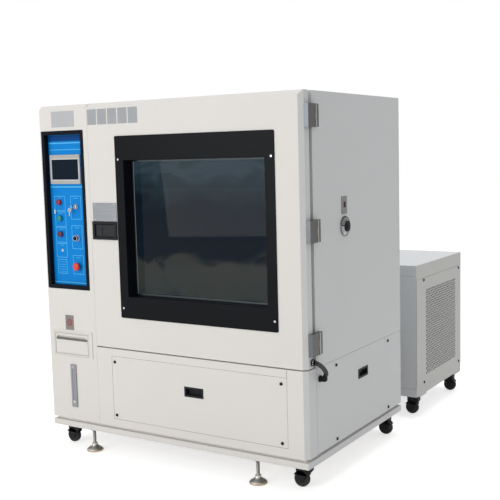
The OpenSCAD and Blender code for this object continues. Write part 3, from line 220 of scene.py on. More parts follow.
def add_frame(bm, outer, inner, y0, y1, edge=0.8, corner=0.0):
    """A rectangular frame in the XZ plane: outer and inner are (x0, x1, z0, z1) in mm."""
    loops = []
    for x0, x1, z0, z1 in (outer, inner):
        ring = [bm.verts.new(at(x, y0, z)) for x, z in ((x0, z0), (x1, z0), (x1, z1), (x0, z1))]
        loops += [bm.edges.new((ring[i], ring[(i + 1) % 4])) for i in range(4)]
    flat = bmesh.ops.bridge_loops(bm, edges=loops)["faces"]
    bmesh.ops.recalc_face_normals(bm, faces=flat)
    if flat[0].normal.y > 0:
        bmesh.ops.reverse_faces(bm, faces=flat)
    back = extrude_back(bm, flat, y1 - y0)
    made = list(dict.fromkeys([v for f in flat if f.is_valid for v in f.verts] + back))
    bmesh.ops.recalc_face_normals(bm, faces=faces_of(made))
    if corner > 0:
        posts = [e for e in edges_of(made)
                 if abs((e.verts[0].co - e.verts[1].co).y) > 1e-6 and
                 min(abs(e.verts[0].co.x - at(x, 0, 0).x) for x in outer[:2]) < 1e-6]
        bevel(bm, posts, corner, 4, clamp=False)
    if edge > 0:
        bevel(bm, sharp_edges(bm, 0.9), edge)


def add_copy(bm, node, edge=0.0, angle=SHARP):
    """The merged copy of a node, flat faces joined and its sharp edges rounded."""
    bm.from_mesh(NODES[node].data)
    bmesh.ops.remove_doubles(bm, verts=bm.verts[:], dist=2e-6)
    bmesh.ops.dissolve_limit(bm, angle_limit=0.004, verts=bm.verts[:], edges=bm.edges[:],
                             use_dissolve_boundaries=False, delimit=set())
    if edge > 0:
        bevel(bm, sharp_edges(bm, angle), edge)


def add_arch(bm, x, z, outer, inner, y0, y1, steps=22):
    """Part of a drum along Y above its axis; inner 0 makes it a solid cheek."""
    angles = [math.radians(HOOD_START + HOOD_SPAN * i / steps) for i in range(steps + 1)]
    rim = [(x + outer * math.cos(a), z + outer * math.sin(a)) for a in angles]
    if inner:
        rim += [(x + inner * math.cos(a), z + inner * math.sin(a)) for a in reversed(angles)]
    flat = bm.faces.new([bm.verts.new(at(u, y0, w)) for u, w in rim])
    back = extrude_back(bm, [flat], y1 - y0)
    bmesh.ops.recalc_face_normals(bm, faces=list(dict.fromkeys([flat] + faces_of(back))))


def piece(name, bm, body, finish, slot, *nodes, smooth=32):
    """Turns a bmesh into a finished piece that rides on a body; smooth 0 leaves it faceted."""
    mesh = bpy.data.meshes.new(name)
    bm.to_mesh(mesh)
    bm.free()
    if smooth:
        mesh.shade_smooth()
        mesh.set_sharp_from_angle(angle=math.radians(smooth))
    obj = bpy.data.objects.new(name, mesh)
    bpy.context.scene.collection.objects.link(obj)
    mesh.materials.append(FINISH[finish])
    if smooth:
        even = obj.modifiers.new("Even shading", "WEIGHTED_NORMAL")
        even.keep_sharp = True
    if body:
        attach(obj, body)
    if nodes:
        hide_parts(*nodes)
    return obj


def refined(node, body, finish, slot, edge, angle=SHARP):
    """A node's finished copy, with rounded edges and its material."""
    piece(node + "_finished", build((add_copy, node, edge, angle)), body, finish, slot, node)


def split_forks(node, coat, slot, edge):
    """A base whose fixed casters' forks, below its rails, are black."""
    for upper in (True, False):
        bm = build((add_copy, node))
        bmesh.ops.bisect_plane(bm, geom=bm.verts[:] + bm.edges[:] + bm.faces[:], dist=1e-6,
                               plane_co=at(0, 0, FORK_TOP), plane_no=(0, 0, 1),
                               clear_inner=upper, clear_outer=not upper)
        bmesh.ops.holes_fill(bm, edges=[e for e in bm.edges if e.is_boundary], sides=0)
        bevel(bm, sharp_edges(bm), edge)
        if upper:
            piece(node + "_finished", bm, "cabinet", coat, slot, node)
        else:
            piece(node + "_fixed_forks", bm, "cabinet", "plastic_black", "black_coat")


def screws(name, body, finish, slot, spots, profile, steps):
    """A piece of equal screw heads that look to the front, at spots in mm."""
    piece(name, build(*((add_lathe, "-Y", spot, profile, steps) for spot in spots)), body,
          finish, slot)


def dress(node, finish):
    """A node whose shape is right keeps its mesh and takes a material."""
    data = NODES[node].data
    data.materials.clear()
    data.materials.append(FINISH[finish])


# Shader helpers

def feed(tree, node, inputs):
    """Links each input that is given an output socket, and sets the value of any other."""
    for key, value in inputs.items():
        if isinstance(value, bpy.types.NodeSocket):
            tree.links.new(value, node.inputs[key])
        else:
            node.inputs[key].default_value = value


def add_node(tree, kind, inputs, **settings):
    node = tree.nodes.new("ShaderNode" + kind)
    for key, value in settings.items():
        setattr(node, key, value)
    feed(tree, node, inputs)
    return node.outputs


def add_group(tree, name, inputs):
    return add_node(tree, "Group", inputs, node_tree=GROUPS[name])


def mix_colour(tree, factor, first, second, blend="MIX"):
    return add_node(tree, "Mix", {"Factor": factor, "A": first, "B": second}, data_type="RGBA",
                    blend_type=blend)["Result"]


def map_range(tree, value, **limits):
    """A Map Range node; limits are from_min, from_max, to_min and to_max."""
    inputs = {key.replace("_", " ").title(): limit for key, limit in limits.items()}
    return add_node(tree, "MapRange", {"Value": value, **inputs})["Result"]


def add_bump(tree, shader, height, strength, distance):
    bump = add_node(tree, "Bump", {"Strength": strength, "Distance": distance, "Height": height})
    feed(tree, shader, {"Normal": bump["Normal"]})


def group(name, inputs, outputs):
    """A node group: None makes a vector input, a float a number and four numbers a colour."""
    tree = bpy.data.node_groups.new(name, "ShaderNodeTree")
    for label, value in inputs.items():
        kind = "Vector" if value is None else "Float" if isinstance(value, float) else "Color"
        socket = tree.interface.new_socket(label, in_out="INPUT", socket_type="NodeSocket" + kind)
        if value is not None:
            socket.default_value = value
    for label in outputs:
        kind = "Color" if label == "Color" else "Float"
        tree.interface.new_socket(label, in_out="OUTPUT", socket_type="NodeSocket" + kind)
    come = tree.nodes.new("NodeGroupInput")
    return tree, come.outputs, tree.nodes.new("NodeGroupOutput")


def grain_group():
    """Fine surface relief and mottle: powder coat, moulded plastic, rubber."""
    tree, come, go = group(
        "Surface grain",
        {"Vector": None, "Scale": 700.0, "Color": (0.8, 0.8, 0.8, 1), "Mottle": 0.04,
         "Rough low": 0.4, "Rough high": 0.5}, ("Color", "Roughness", "Height"))
    fine = add_node(tree, "TexNoise", {"Vector": come["Vector"], "Scale": come["Scale"],
                                       "Detail": 3})["Fac"]
    broad = add_node(tree, "TexNoise", {"Vector": come["Vector"], "Scale": 3.5, "Detail": 5})
    spread = map_range(tree, broad["Fac"], from_min=0.3, from_max=0.7, to_max=come["Mottle"])
    feed(tree, go, {
        "Color": mix_colour(tree, spread, come["Color"], (0.62, 0.60, 0.56, 1), "MULTIPLY"),
        "Roughness": map_range(tree, fine, to_min=come["Rough low"], to_max=come["Rough high"]),
        "Height": fine})
    return tree


def brushed_group():
    """Long fine streaks of brushed metal along one axis."""
    tree, come, go = group(
        "Brushed streaks",
        {"Vector": None, "Color": (0.5, 0.5, 0.5, 1), "Across": 900.0, "Along": 12.0},
        ("Color", "Roughness", "Height"))
    scale = add_node(tree, "CombineXYZ", {"X": come["Along"], "Y": come["Across"],
                                          "Z": come["Across"]})
    stretch = add_node(tree, "VectorMath", {0: come["Vector"], 1: scale["Vector"]},
                       operation="MULTIPLY")
    noise = add_node(tree, "TexNoise", {"Vector": stretch["Vector"], "Scale": 1.0,
                                        "Detail": 4})["Fac"]
    tone = map_range(tree, noise, to_min=0.0, to_max=0.9)
    feed(tree, go, {
        "Color": mix_colour(tree, tone, come["Color"], (0.35, 0.36, 0.38, 1), "MULTIPLY"),
        "Roughness": map_range(tree, noise, to_min=0.22, to_max=0.48),
        "Height": noise})
    return tree


def scuff_group():
    """Faint floor dust and scuffs that fade out with height."""
    tree, come, go = group(
        "Floor scuffs",
        {"Vector": None, "Color": (0.8, 0.8, 0.8, 1), "Top": 0.3, "Amount": 0.35}, ("Color",))
    rise = add_node(tree, "SeparateXYZ", {"Vector": come["Vector"]})["Z"]
    fade = map_range(tree, rise, from_max=come["Top"], to_min=come["Amount"], to_max=0.0)
    noise = add_node(tree, "TexNoise", {"Vector": come["Vector"], "Scale": 18, "Detail": 6})
    both = add_node(tree, "Math", {0: fade, 1: noise["Fac"]}, operation="MULTIPLY")["Value"]
    feed(tree, go, {"Color": mix_colour(tree, both, come["Color"], (0.42, 0.40, 0.36, 1))})
    return tree


def right_shade_group():
    """Mask of the painted shade: 1 on faces that look to the right, 0 on the front."""
    tree, _, go = group("Turned to the right", {}, ("Mask",))
    coords = add_node(tree, "TexCoord", {})
    facing = add_node(tree, "SeparateXYZ", {"Vector": coords["Normal"]})
    feed(tree, go, {"Mask": map_range(tree, facing["X"], from_min=0.35, from_max=0.85)})
    return tree


def start_material(name):
    """A new material in FINISH: its tree, its shader and its object coordinates."""
    mat = bpy.data.materials.new(name)
    mat.use_nodes = True
    FINISH[name] = mat
    tree = mat.node_tree
    return tree, tree.nodes["Principled BSDF"], add_node(tree, "TexCoord", {})["Object"]


def grained(name, colour, rough=(0.4, 0.5), scale=700, relief=0.02, mottle=0.04, metallic=0.0,
            coat=0.0, scuffs=0.0, spec=0.5, shade=None):
    """A painted, moulded or rubber finish with grain, mottle and floor scuffs.

    shade is painted shade: a cooler, darker tone for the faces turned to the right, as on the
    casing beside them.
    """
    tree, shader, vector = start_material(name)
    grain = add_group(tree, "grain", {"Vector": vector, "Scale": scale, "Color": (*colour, 1),
                                      "Mottle": mottle, "Rough low": rough[0],
                                      "Rough high": rough[1]})
    colour_out = grain["Color"]
    if scuffs > 0:
        colour_out = add_group(tree, "scuffs", {"Vector": vector, "Color": colour_out,
                                                "Amount": scuffs})["Color"]
    # painted shade: faces turned to the right take the darker shade colour
    if shade:
        turned = add_group(tree, "turned", {})["Mask"]
        colour_out = mix_colour(tree, turned, colour_out, (*shade, 1))
    feed(tree, shader, {"Base Color": colour_out, "Roughness": grain["Roughness"],
                        "Metallic": metallic, "Coat Weight": coat, "Coat Roughness": 0.12,
                        "Specular IOR Level": spec})
    if relief > 0:
        add_bump(tree, shader, grain["Height"], relief, 0.002)


def brushed(name, colour, across, along):
    """Brushed steel, its streaks along X."""
    tree, shader, vector = start_material(name)
    streaks = add_group(tree, "brushed", {"Vector": vector, "Color": (*colour, 1),
                                          "Across": across, "Along": along})
    feed(tree, shader, {"Base Color": streaks["Color"], "Roughness": streaks["Roughness"],
                        "Metallic": 1.0})
    add_bump(tree, shader, streaks["Height"], 0.05, 0.001)


def set_ramp(node, stops):
    """Gives a colour ramp its (place, colour) stops."""
    elements = node.color_ramp.elements
    while len(elements) < len(stops):
        elements.new(0.5)
    for element, (place, colour) in zip(elements, stops):
        element.position = place
        element.color = (*colour, 1)


def painted_reflection_steel(name, front, side):
    """Polished steel with painted reflections: pale facing the front, dark on the side with a
    painted bright streak.
    """
    tree, shader, vector = start_material(name)
    normal = add_node(tree, "TexCoord", {})["Normal"]
    facing = add_node(tree, "SeparateXYZ", {"Vector": normal})["Y"]
    # painted reflection: the side tone with one bright band, by which way the face looks along Y
    painted_streak = tree.nodes.new("ShaderNodeValToRGB")
    feed(tree, painted_streak, {"Fac": map_range(tree, facing, from_min=-1)})
    set_ramp(painted_streak, ((0.0, side), (0.22, side), (0.34, (0.5, 0.5, 0.49)), (0.46, side),
                      (1.0, side)))
    turned = add_group(tree, "turned", {})["Mask"]
    colour = mix_colour(tree, turned, (*front, 1), painted_streak.outputs["Color"])
    grain = add_group(tree, "grain", {"Vector": vector, "Color": colour, "Scale": 120,
                                      "Mottle": 0.4, "Rough low": 0.2, "Rough high": 0.34})
    feed(tree, shader, {"Base Color": grain["Color"], "Roughness": grain["Roughness"],
                        "Metallic": 1.0})


def tinted_glass(name, tint):
    """Dark coated glass; a soft mottled glow is a painted reflection of the hall in its coating."""
    tree, shader, vector = start_material(name)
    stretch = add_node(tree, "Mapping", {"Vector": vector, "Scale": (2.6, 1.0, 7.0),
                                         "Rotation": (0, 0.22, 0)})
    noise = add_node(tree, "TexNoise", {"Vector": stretch["Vector"], "Scale": 1.4, "Detail": 4,
                                        "Distortion": 1.2})["Fac"]
    low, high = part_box("window_glazing")
    height = add_node(tree, "SeparateXYZ", {"Vector": vector})["Z"]
    rise = map_range(tree, height, from_min=low[2], from_max=high[2])
    sway = add_node(tree, "Math", {0: noise, 1: 0.55, 2: rise}, operation="MULTIPLY_ADD")
    reach = 1.5  # the ramp's places run up to here, from the pane's lower edge
    place = add_node(tree, "Math", {0: sway["Value"], 1: reach}, operation="DIVIDE")["Value"]
    reflection_glow = tree.nodes.new("ShaderNodeValToRGB")
    feed(tree, reflection_glow, {"Fac": place})
    reflection_glow.color_ramp.interpolation = "EASE"
    # colours of the painted reflection, in bands up the pane
    stops = ((0.24, (0.010, 0.018, 0.024)), (0.36, (0.030, 0.034, 0.032)),
             (0.50, (0.034, 0.036, 0.033)), (0.62, (0.006, 0.010, 0.016)),
             (0.92, (0.005, 0.009, 0.015)), (1.10, (0.012, 0.024, 0.032)),
             (1.20, (0.026, 0.042, 0.056)), (1.30, (0.014, 0.032, 0.038)))
    set_ramp(reflection_glow, [(stop / reach, colour) for stop, colour in stops])
    # the painted reflection glows as emission
    feed(tree, shader, {"Base Color": (*tint, 1), "Transmission Weight": 1.0, "IOR": 1.17,
                        "Roughness": map_range(tree, noise, to_min=0.0, to_max=0.02),
                        "Emission Color": reflection_glow.outputs["Color"], "Emission Strength": 0.76})


def make_finishes():
    look = bpy.context.scene.chamber_finish
    GROUPS.update(grain=grain_group(), brushed=brushed_group(), scuffs=scuff_group(),
                  turned=right_shade_group())
    # side_shade is the casing's coat made darker and cooler, a painted shade of the right side; the
    # front's right-facing faces take it too
    white, side_shade = tuple(look.coat_colour), tuple(look.side_shade_colour)
    grained("powder_white", white, (0.42, 0.55), 650, 0.05, 0.05, scuffs=0.10, shade=side_shade)
    grained("powder_side_shaded", side_shade, (0.42, 0.55), 650, 0.05, 0.05, scuffs=0.10)
    # the unit's right-facing faces get a darker painted shade
    grained("powder_unit", (0.68, 0.70, 0.72), (0.42, 0.55), 650, 0.05, 0.05, scuffs=0.10,
            shade=(0.595, 0.595, 0.575))
    grained("powder_base", white, (0.45, 0.6), 650, 0.05, 0.05, scuffs=0.22, shade=side_shade)
    grained("panel_black", (0.006, 0.007, 0.009), (0.24, 0.34), 500, 0.02, 0.0, spec=0.06)
    grained("bezel_black", (0.007, 0.008, 0.012), (0.35, 0.45), 600, 0.03, 0.0, spec=0.05)
    grained("plastic_black", (0.014, 0.015, 0.017), (0.38, 0.5), 900, 0.08, 0.1, spec=0.12)
    grained("paddle_black", (0.020, 0.021, 0.024), (0.3, 0.42), 900, 0.05, 0.1, spec=0.18)
    grained("plate_blue", tuple(look.blue_colour), (0.32, 0.42), 500, 0.02, 0.05, spec=0.1)
    grained("header_blue", (0.001, 0.062, 0.25), (0.3, 0.4), 500, 0.02, 0.0, spec=0.08)
    grained("print_light", (0.10, 0.55, 0.92), (0.4, 0.5), 500, 0.0, 0.0, spec=0.3)
    grained("screen_bezel", (0.47, 0.46, 0.44), (0.4, 0.5), 900, 0.06, 0.05, spec=0.3)
    grained("screen_rim", (0.62, 0.63, 0.64), (0.4, 0.5), 900, 0.04, 0.05, spec=0.3)
    grained("screen_glass", (0.005, 0.012, 0.024), (0.12, 0.2), 200, 0.0, 0.0, spec=0.06)
    for name, colour in (("lamp_red", (0.30, 0.008, 0.020)), ("lamp_green", (0.004, 0.27, 0.22)),
                         ("lamp_dark", (0.11, 0.008, 0.04))):
        grained(name, colour, (0.15, 0.25), 400, 0.02, 0.0, coat=0.2, spec=0.3)
    grained("stop_red", (0.80, 0.065, 0.045), (0.28, 0.38), 700, 0.04, 0.05, spec=0.3)
    grained("chrome", (0.54, 0.56, 0.57), (0.10, 0.2), 90, 0.0, 0.35, metallic=1.0)
    grained("zinc", (0.50, 0.485, 0.46), (0.25, 0.4), 60, 0.04, 0.6, metallic=1.0)
    grained("brass_rim", (0.50, 0.38, 0.27), (0.3, 0.45), 300, 0.04, 0.4, metallic=1.0)
    # hinges and port ring: painted reflections of the room, pale front and dark side with a bright
    # streak
    painted_reflection_steel("hinge_steel", (0.115, 0.125, 0.135), (0.085, 0.083, 0.08))
    painted_reflection_steel("port_steel", (0.36, 0.38, 0.39), (0.22, 0.235, 0.24))
    grained("rubber_black", (0.012, 0.013, 0.014), (0.5, 0.7), 800, 0.15, 0.1, spec=0.12)
    grained("tyre_black", (0.012, 0.012, 0.013), (0.5, 0.75), 600, 0.2, 0.1, scuffs=0.2, spec=0.1)
    grained("conduit_black", (0.016, 0.017, 0.019), (0.3, 0.4), 800, 0.05, 0.1, spec=0.5)
    # dark lines that paint the shade in panel gaps
    grained("gap_shadow_dark", (0.035, 0.032, 0.030), (0.6, 0.8), 600, 0.05, 0.2, spec=0.08)
    grained("foam_tan", (0.62, 0.50, 0.26), (0.8, 0.9), 250, 0.4, 0.3)
    grained("edge_metal", (0.055, 0.065, 0.07), (0.25, 0.4), 120, 0.02, 0.4, metallic=1.0)
    grained("alloy_grey", (0.045, 0.048, 0.052), (0.4, 0.55), 400, 0.06, 0.2, metallic=0.6)
    grained("label_plate", (0.40, 0.42, 0.44), (0.25, 0.35), 90, 0.02, 0.25, spec=0.3)
    grained("badge_plate", (0.52, 0.53, 0.55), (0.25, 0.35), 90, 0.02, 0.15, spec=0.3)
    grained("gauge_grey", (0.33, 0.33, 0.37), (0.25, 0.35), 300, 0.02, 0.15, spec=0.3)
    grained("sign_grey", (0.26, 0.24, 0.22), (0.4, 0.5), 300, 0.02, 0.15, spec=0.3)
    grained("sign_red", (0.36, 0.03, 0.045), (0.4, 0.5), 500, 0.0, 0.0, spec=0.3)
    grained("plate_grey", (0.26, 0.26, 0.26), (0.35, 0.5), 300, 0.03, 0.2, spec=0.3)
    # dark sheet for the shade inside the unit
    grained("backing_black", (0.02, 0.021, 0.022), (0.8, 0.9), 300, 0.3, 0.4, spec=0.05)
    grained("slot_red", (0.045, 0.012, 0.012), (0.5, 0.6), 300, 0.03, 0.2, spec=0.1)
    grained("line_grey", (0.50, 0.49, 0.47), (0.5, 0.6), 300, 0.02, 0.1, spec=0.2)
    # grey of a painted shadow
    grained("shadow_grey", (0.21, 0.21, 0.205), (0.6, 0.7), 60, 0.02, 0.5, spec=0.1)
    grained("liner_steel", (0.42, 0.43, 0.44), (0.35, 0.45), 120, 0.0, 0.2, metallic=1.0)
    brushed("plate_brushed", (0.30, 0.315, 0.33), 300.0, 5.0)
    tinted_glass("glass_dark", tuple(look.glass_tint))


class ChamberFinish(bpy.types.PropertyGroup):
    coat_colour: bpy.props.FloatVectorProperty(
        name="Powder coat", description="Colour of the door, column and lower front",
        subtype="COLOR", size=3, default=(0.775, 0.750, 0.715), min=0, max=1)
    # the casing's coat, darker and cooler than the front's: a painted shade of the right side
    side_shade_colour: bpy.props.FloatVectorProperty(
        name="Casing coat", description="Colour of the cabinet's casing",
        subtype="COLOR", size=3, default=(0.70, 0.71, 0.72), min=0, max=1)
    blue_colour: bpy.props.FloatVectorProperty(
        name="Control plate", description="Colour of the control plate",
        subtype="COLOR", size=3, default=(0.002, 0.250, 0.73), min=0, max=1)
    glass_tint: bpy.props.FloatVectorProperty(
        name="Glass tint", description="Tint of the viewing window",
        subtype="COLOR", size=3, default=(0.045, 0.066, 0.08), min=0, max=1)


class ChamberSizes(bpy.types.PropertyGroup):
    edge_round: bpy.props.FloatProperty(
        name="Edge rounding", description="Rounding of the sheet metal's folded edges, in mm",
        default=1.6, min=0.2, max=4)
    perf_pitch: bpy.props.FloatProperty(
        name="Perforation pitch", description="Spacing of the condensing unit's small holes, in mm",
        default=21.0, min=10, max=30)
    perf_rise: bpy.props.FloatProperty(
        name="Perforation rise", description="Height from one row of holes to the next, in mm",
        default=13.5, min=10, max=24)
    perf_radius: bpy.props.FloatProperty(
        name="Perforation radius", description="Radius of the small holes, in mm",
        default=6.3, min=2, max=6.6)
    screw_radius: bpy.props.FloatProperty(
        name="Panel screw radius", description="Radius of the black panel screws, in mm",
        default=7.5, min=4, max=9)
    conduit_ribs: bpy.props.IntProperty(
        name="Conduit ribs", description="Ribs on the corrugated door conduit",
        default=13, min=8, max=40)


class ChamberStage(bpy.types.PropertyGroup):
    camera_place: bpy.props.FloatVectorProperty(
        name="Camera place", description="Camera position from the cabinet's left front corner",
        subtype="TRANSLATION", unit="LENGTH", size=3, default=(3.315, -3.303, 1.494))
    camera_turn: bpy.props.FloatVectorProperty(
        name="Camera turn", description="Camera heading, tilt and roll in degrees",
        size=3, default=(32.263, -6.188, 1.513))
    lens: bpy.props.FloatProperty(
        name="Lens", description="Focal length in mm on a 36 mm sensor", default=64.78, min=10,
        max=200)
    key_power: bpy.props.FloatProperty(
        name="Key light", description="Power of the big soft light in front, in watts",
        default=230.0, min=0, max=2000)
    fill_power: bpy.props.FloatProperty(
        name="Fill light", description="Power of the soft light on the right, in watts",
        default=5.0, min=0, max=2000)
    top_power: bpy.props.FloatProperty(
        name="Top light", description="Power of the soft light above the unit, in watts",
        default=85.0, min=0, max=2000)
    world_level: bpy.props.FloatProperty(
        name="Room light", description="Strength of the even light all round", default=0.50,
        min=0, max=2)


class CHAMBER_OT_cabinet(bpy.types.Operator):
    """Casing, base frame, lower front and column sheet metal"""
    bl_idname = "chamber.cabinet"
    bl_label = "Cabinet sheet metal"

    def execute(self, context):
        edge = context.scene.chamber_sizes.edge_round
        refined("outer_casing", "cabinet", "powder_side_shaded", "grey_coat", edge)
        split_forks("base_frame", "powder_base", "white_coat", 1.2)
        refined("rear_panel", "cabinet", "powder_side_shaded", "grey_coat", 0.5)
        refined("column_front", "cabinet", "powder_white", "white_coat", edge)
        refined("lower_front", "cabinet", "powder_white", "white_coat", edge)
        refined("front_access_panel", "cabinet", "powder_white", "white_coat", 0.5)
        refined("side_access_panel", "cabinet", "powder_side_shaded", "grey_coat", 0.5)
        refined("drawer_frame", "cabinet", "powder_white", "white_coat", 1.2)
        refined("water_drawer", "drawer", "powder_white", "white_coat", 1.0)
        self.drawer_relief()
        column = shop("column_front")[1]
        low, high = shop("lower_front")
        piece("column_seam_lip",
              build((add_block, column.x + 0.05, column.x + 2.5, 0.5, 3, low.z + 2,
                     column.z - 4, 0)), "cabinet", "powder_white", "white_coat")
        # painted shadow: a short dark line above the access panel's right edge, and thin dark
        # frames round the access panel and drawer, for the shade in their gaps
        corner = shop("front_access_panel")[1]
        seams = build((add_block, corner.x - 0.6, corner.x + 0.6, -0.4, 0.2, corner.z,
                       high.z - 4, 0))
        for node in ("front_access_panel", "water_drawer"):
            rect = outline(node)
            add_frame(seams, widen(rect, 0.9), widen(rect, 0.05), -0.15, 0.4, 0)
        piece("front_seam", seams, "cabinet", "gap_shadow_dark", "black_coat")
        return {"FINISHED"}

    def drawer_relief(self):
        """Painted shadow in the grip slot, the rolled lip across the drawer, and painted shadow
        lines round its mouth.
        """
        low, high = shop("water_drawer")
        # painted shadow: a dark grey bar where the grip slot is in shade
        piece("drawer_grip_shadow",
              build((add_block, low.x + 4, high.x - 2, low.y - 0.2, low.y + 0.4, high.z - 31,
                     high.z - 19, 0)), "drawer", "shadow_grey", "black_coat")
        piece("drawer_lip",
              build((add_block, low.x + 4, high.x - 2, low.y - 1.6, low.y + 0.4, high.z - 42,
                     high.z - 31.4, 0.9, 3)), "drawer", "powder_white", "white_coat")
        front = shop("drawer_frame")[0].y
        # painted shadow: thin grey frames for the shade round the drawer's recess and frame
        shadow_lines = bmesh.new()
        for gap, width in ((1.4, 3.0), (9.0, 1.6)):
            rect = widen(outline("water_drawer"), gap)
            add_frame(shadow_lines, widen(rect, width), rect, front - 0.2, front + 0.3, 0)
        piece("drawer_shadow_lines", shadow_lines, "cabinet", "line_grey", "grey_coat")


class CHAMBER_OT_fasteners(bpy.types.Operator):
    """Black panel screws and dished finger pulls"""
    bl_idname = "chamber.fasteners"
    bl_label = "Panel screws and pulls"

    def execute(self, context):
        r = context.scene.chamber_sizes.screw_radius
        front_low, front_high = shop("front_access_panel")
        side_low, side_high = shop("side_access_panel")
        unit_low, unit_high = shop("unit_side_panels")
        spots = [("-Y", (x, 0, z)) for x in (front_low.x + 18, front_high.x - 28)
                 for z in (front_low.z + 20, front_high.z - 28)]
        spots += [("X", (side_high.x, y, z)) for y in SIDE_SCREW_Y
                  for z in (side_low.z + 18, side_high.z - 23)]
        spots += [("X", (unit_high.x, y, z)) for y in (unit_low.y + 106, unit_high.y - 41)
                  for z in (unit_low.z + 18, unit_high.z - 12)]
        head = [(0, 2.2), (r * 0.36, 2.2), (r * 0.44, 4.2), (r * 0.74, 4.4), (r * 0.94, 3.4),
                (r, 1.8), (r, 0.0)]
        piece("panel_screws", build(*((add_lathe, axis, spot, head, 20) for axis, spot in spots)),
              "cabinet", "plastic_black", "black_plastic")
        # only the two dished pulls stay: the screws above take the place of the node's own
        spans = [(at(*low), at(*high)) for low, high in PULLS]
        pulls = build((add_copy, "panel_fasteners"))
        drop(pulls, lambda co: not any(
            all(low[k] - 0.005 <= co[k] <= high[k] + 0.002 for k in range(3))
            for low, high in spans))
        bevel(pulls, sharp_edges(pulls), 1.4, 3)
        piece("finger_pulls", pulls, "cabinet", "plastic_black", "black_plastic",
              "panel_fasteners")
        return {"FINISHED"}


class CHAMBER_OT_door(bpy.types.Operator):
    """Door slab, its inner liner and its seal"""
    bl_idname = "chamber.door"
    bl_label = "Door"

    def execute(self, context):
        edge = context.scene.chamber_sizes.edge_round
        refined("door_shell", "door", "powder_white", "white_coat", edge)
        refined("door_liner", "door", "liner_steel", "stainless", 1.0)
        low, high = shop("door_gasket")
        rect = outline("door_gasket")
        seal = build((add_frame, rect, widen(rect, -SEAL_WIDTH), low.y, low.y + 5, 1.5, 8),
                     (add_frame, widen(rect, -3), widen(rect, 3 - SEAL_WIDTH), low.y + 4, high.y,
                      5.0, 8))
        piece("door_seal", seal, "door", "rubber_black", "rubber", "door_gasket")
        return {"FINISHED"}


class CHAMBER_OT_window(bpy.types.Operator):
    """Black window panel with its jamb, bright screws, metal edge and dark panes"""
    bl_idname = "chamber.window"
    bl_label = "Window"

    def execute(self, context):
        low, high = shop("window_panel")
        face = -4
        inner = widen(outline("window_glazing"), -6)  # the panes reach 6 mm behind the panel
        surround = build((add_frame, outline("window_panel"), inner, face, 0, 0.9, 7))
        piece("window_surround", surround, "door", "panel_black", "black_coat", "window_panel")
        piece("window_jamb", build((add_frame, widen(inner, 2), inner, -1, 60, 0.4)), "door",
              "bezel_black", "black_coat")
        piece("glass_edge_trim",
              build((add_frame, widen(inner, -0.4), widen(inner, -9), 54, 59.8, 1.6)), "door",
              "edge_metal", "stainless")
        spots = [(x, face, z) for x in (low.x + 18, high.x - 16)
                 for z in (low.z + 48, high.z - 111)]
        screws("window_screws", "door", "chrome", "chrome", spots,
               [(0, 1.2), (1.8, 1.2), (2.2, 2.0), (4.2, 1.9), (5.4, 1.0), (5.6, 0.0)], 24)
        dress("window_glazing", "glass_dark")
        return {"FINISHED"}


class CHAMBER_OT_latch(bpy.types.Operator):
    """Paddle latch with its brushed plate"""
    bl_idname = "chamber.latch"
    bl_label = "Door latch"

    def execute(self, context):
        body = build((add_copy, "latch_housing"))
        limit = at(0, 0, LATCH_PLATE_Z).z
        drop(body, lambda co: co.z > limit)
        bevel(body, sharp_edges(body), 1.2)
        piece("latch_body", body, "door", "plastic_black", "black_plastic", "latch_housing")
        low, high = shop("latch_housing")
        face = -3
        piece("latch_brushed_plate",
              build((add_block, low.x + 3, high.x - 1, face, 0, LATCH_PLATE_Z + 0.1, high.z, 0.8)),
              "door", "plate_brushed", "stainless")
        spots = [(low.x + share * (high.x - low.x), face, z) for share in (0.1, 0.9)
                 for z in (LATCH_SCREW_Z, high.z - 8)]
        screws("latch_plate_screws", "door", "chrome", "chrome", spots,
               [(0, 0.3), (1.2, 0.3), (1.4, 0.8), (2.4, 0.7), (2.8, 0.0)], 18)
        refined("latch_paddle", "latch", "paddle_black", "black_plastic", 1.2)
        return {"FINISHED"}


class CHAMBER_OT_hinges(bpy.types.Operator):
    """Side hinges; their polished sides carry a painted reflection of the darker room beside the
    chamber
    """
    bl_idname = "chamber.hinges"
    bl_label = "Hinges"

    def execute(self, context):
        refined("door_hinge_leaves", "door", "hinge_steel", "chrome", 1.4, 0.9)
        refined("hinge_frame_leaves", "cabinet", "hinge_steel", "chrome", 1.4, 0.9)
        return {"FINISHED"}


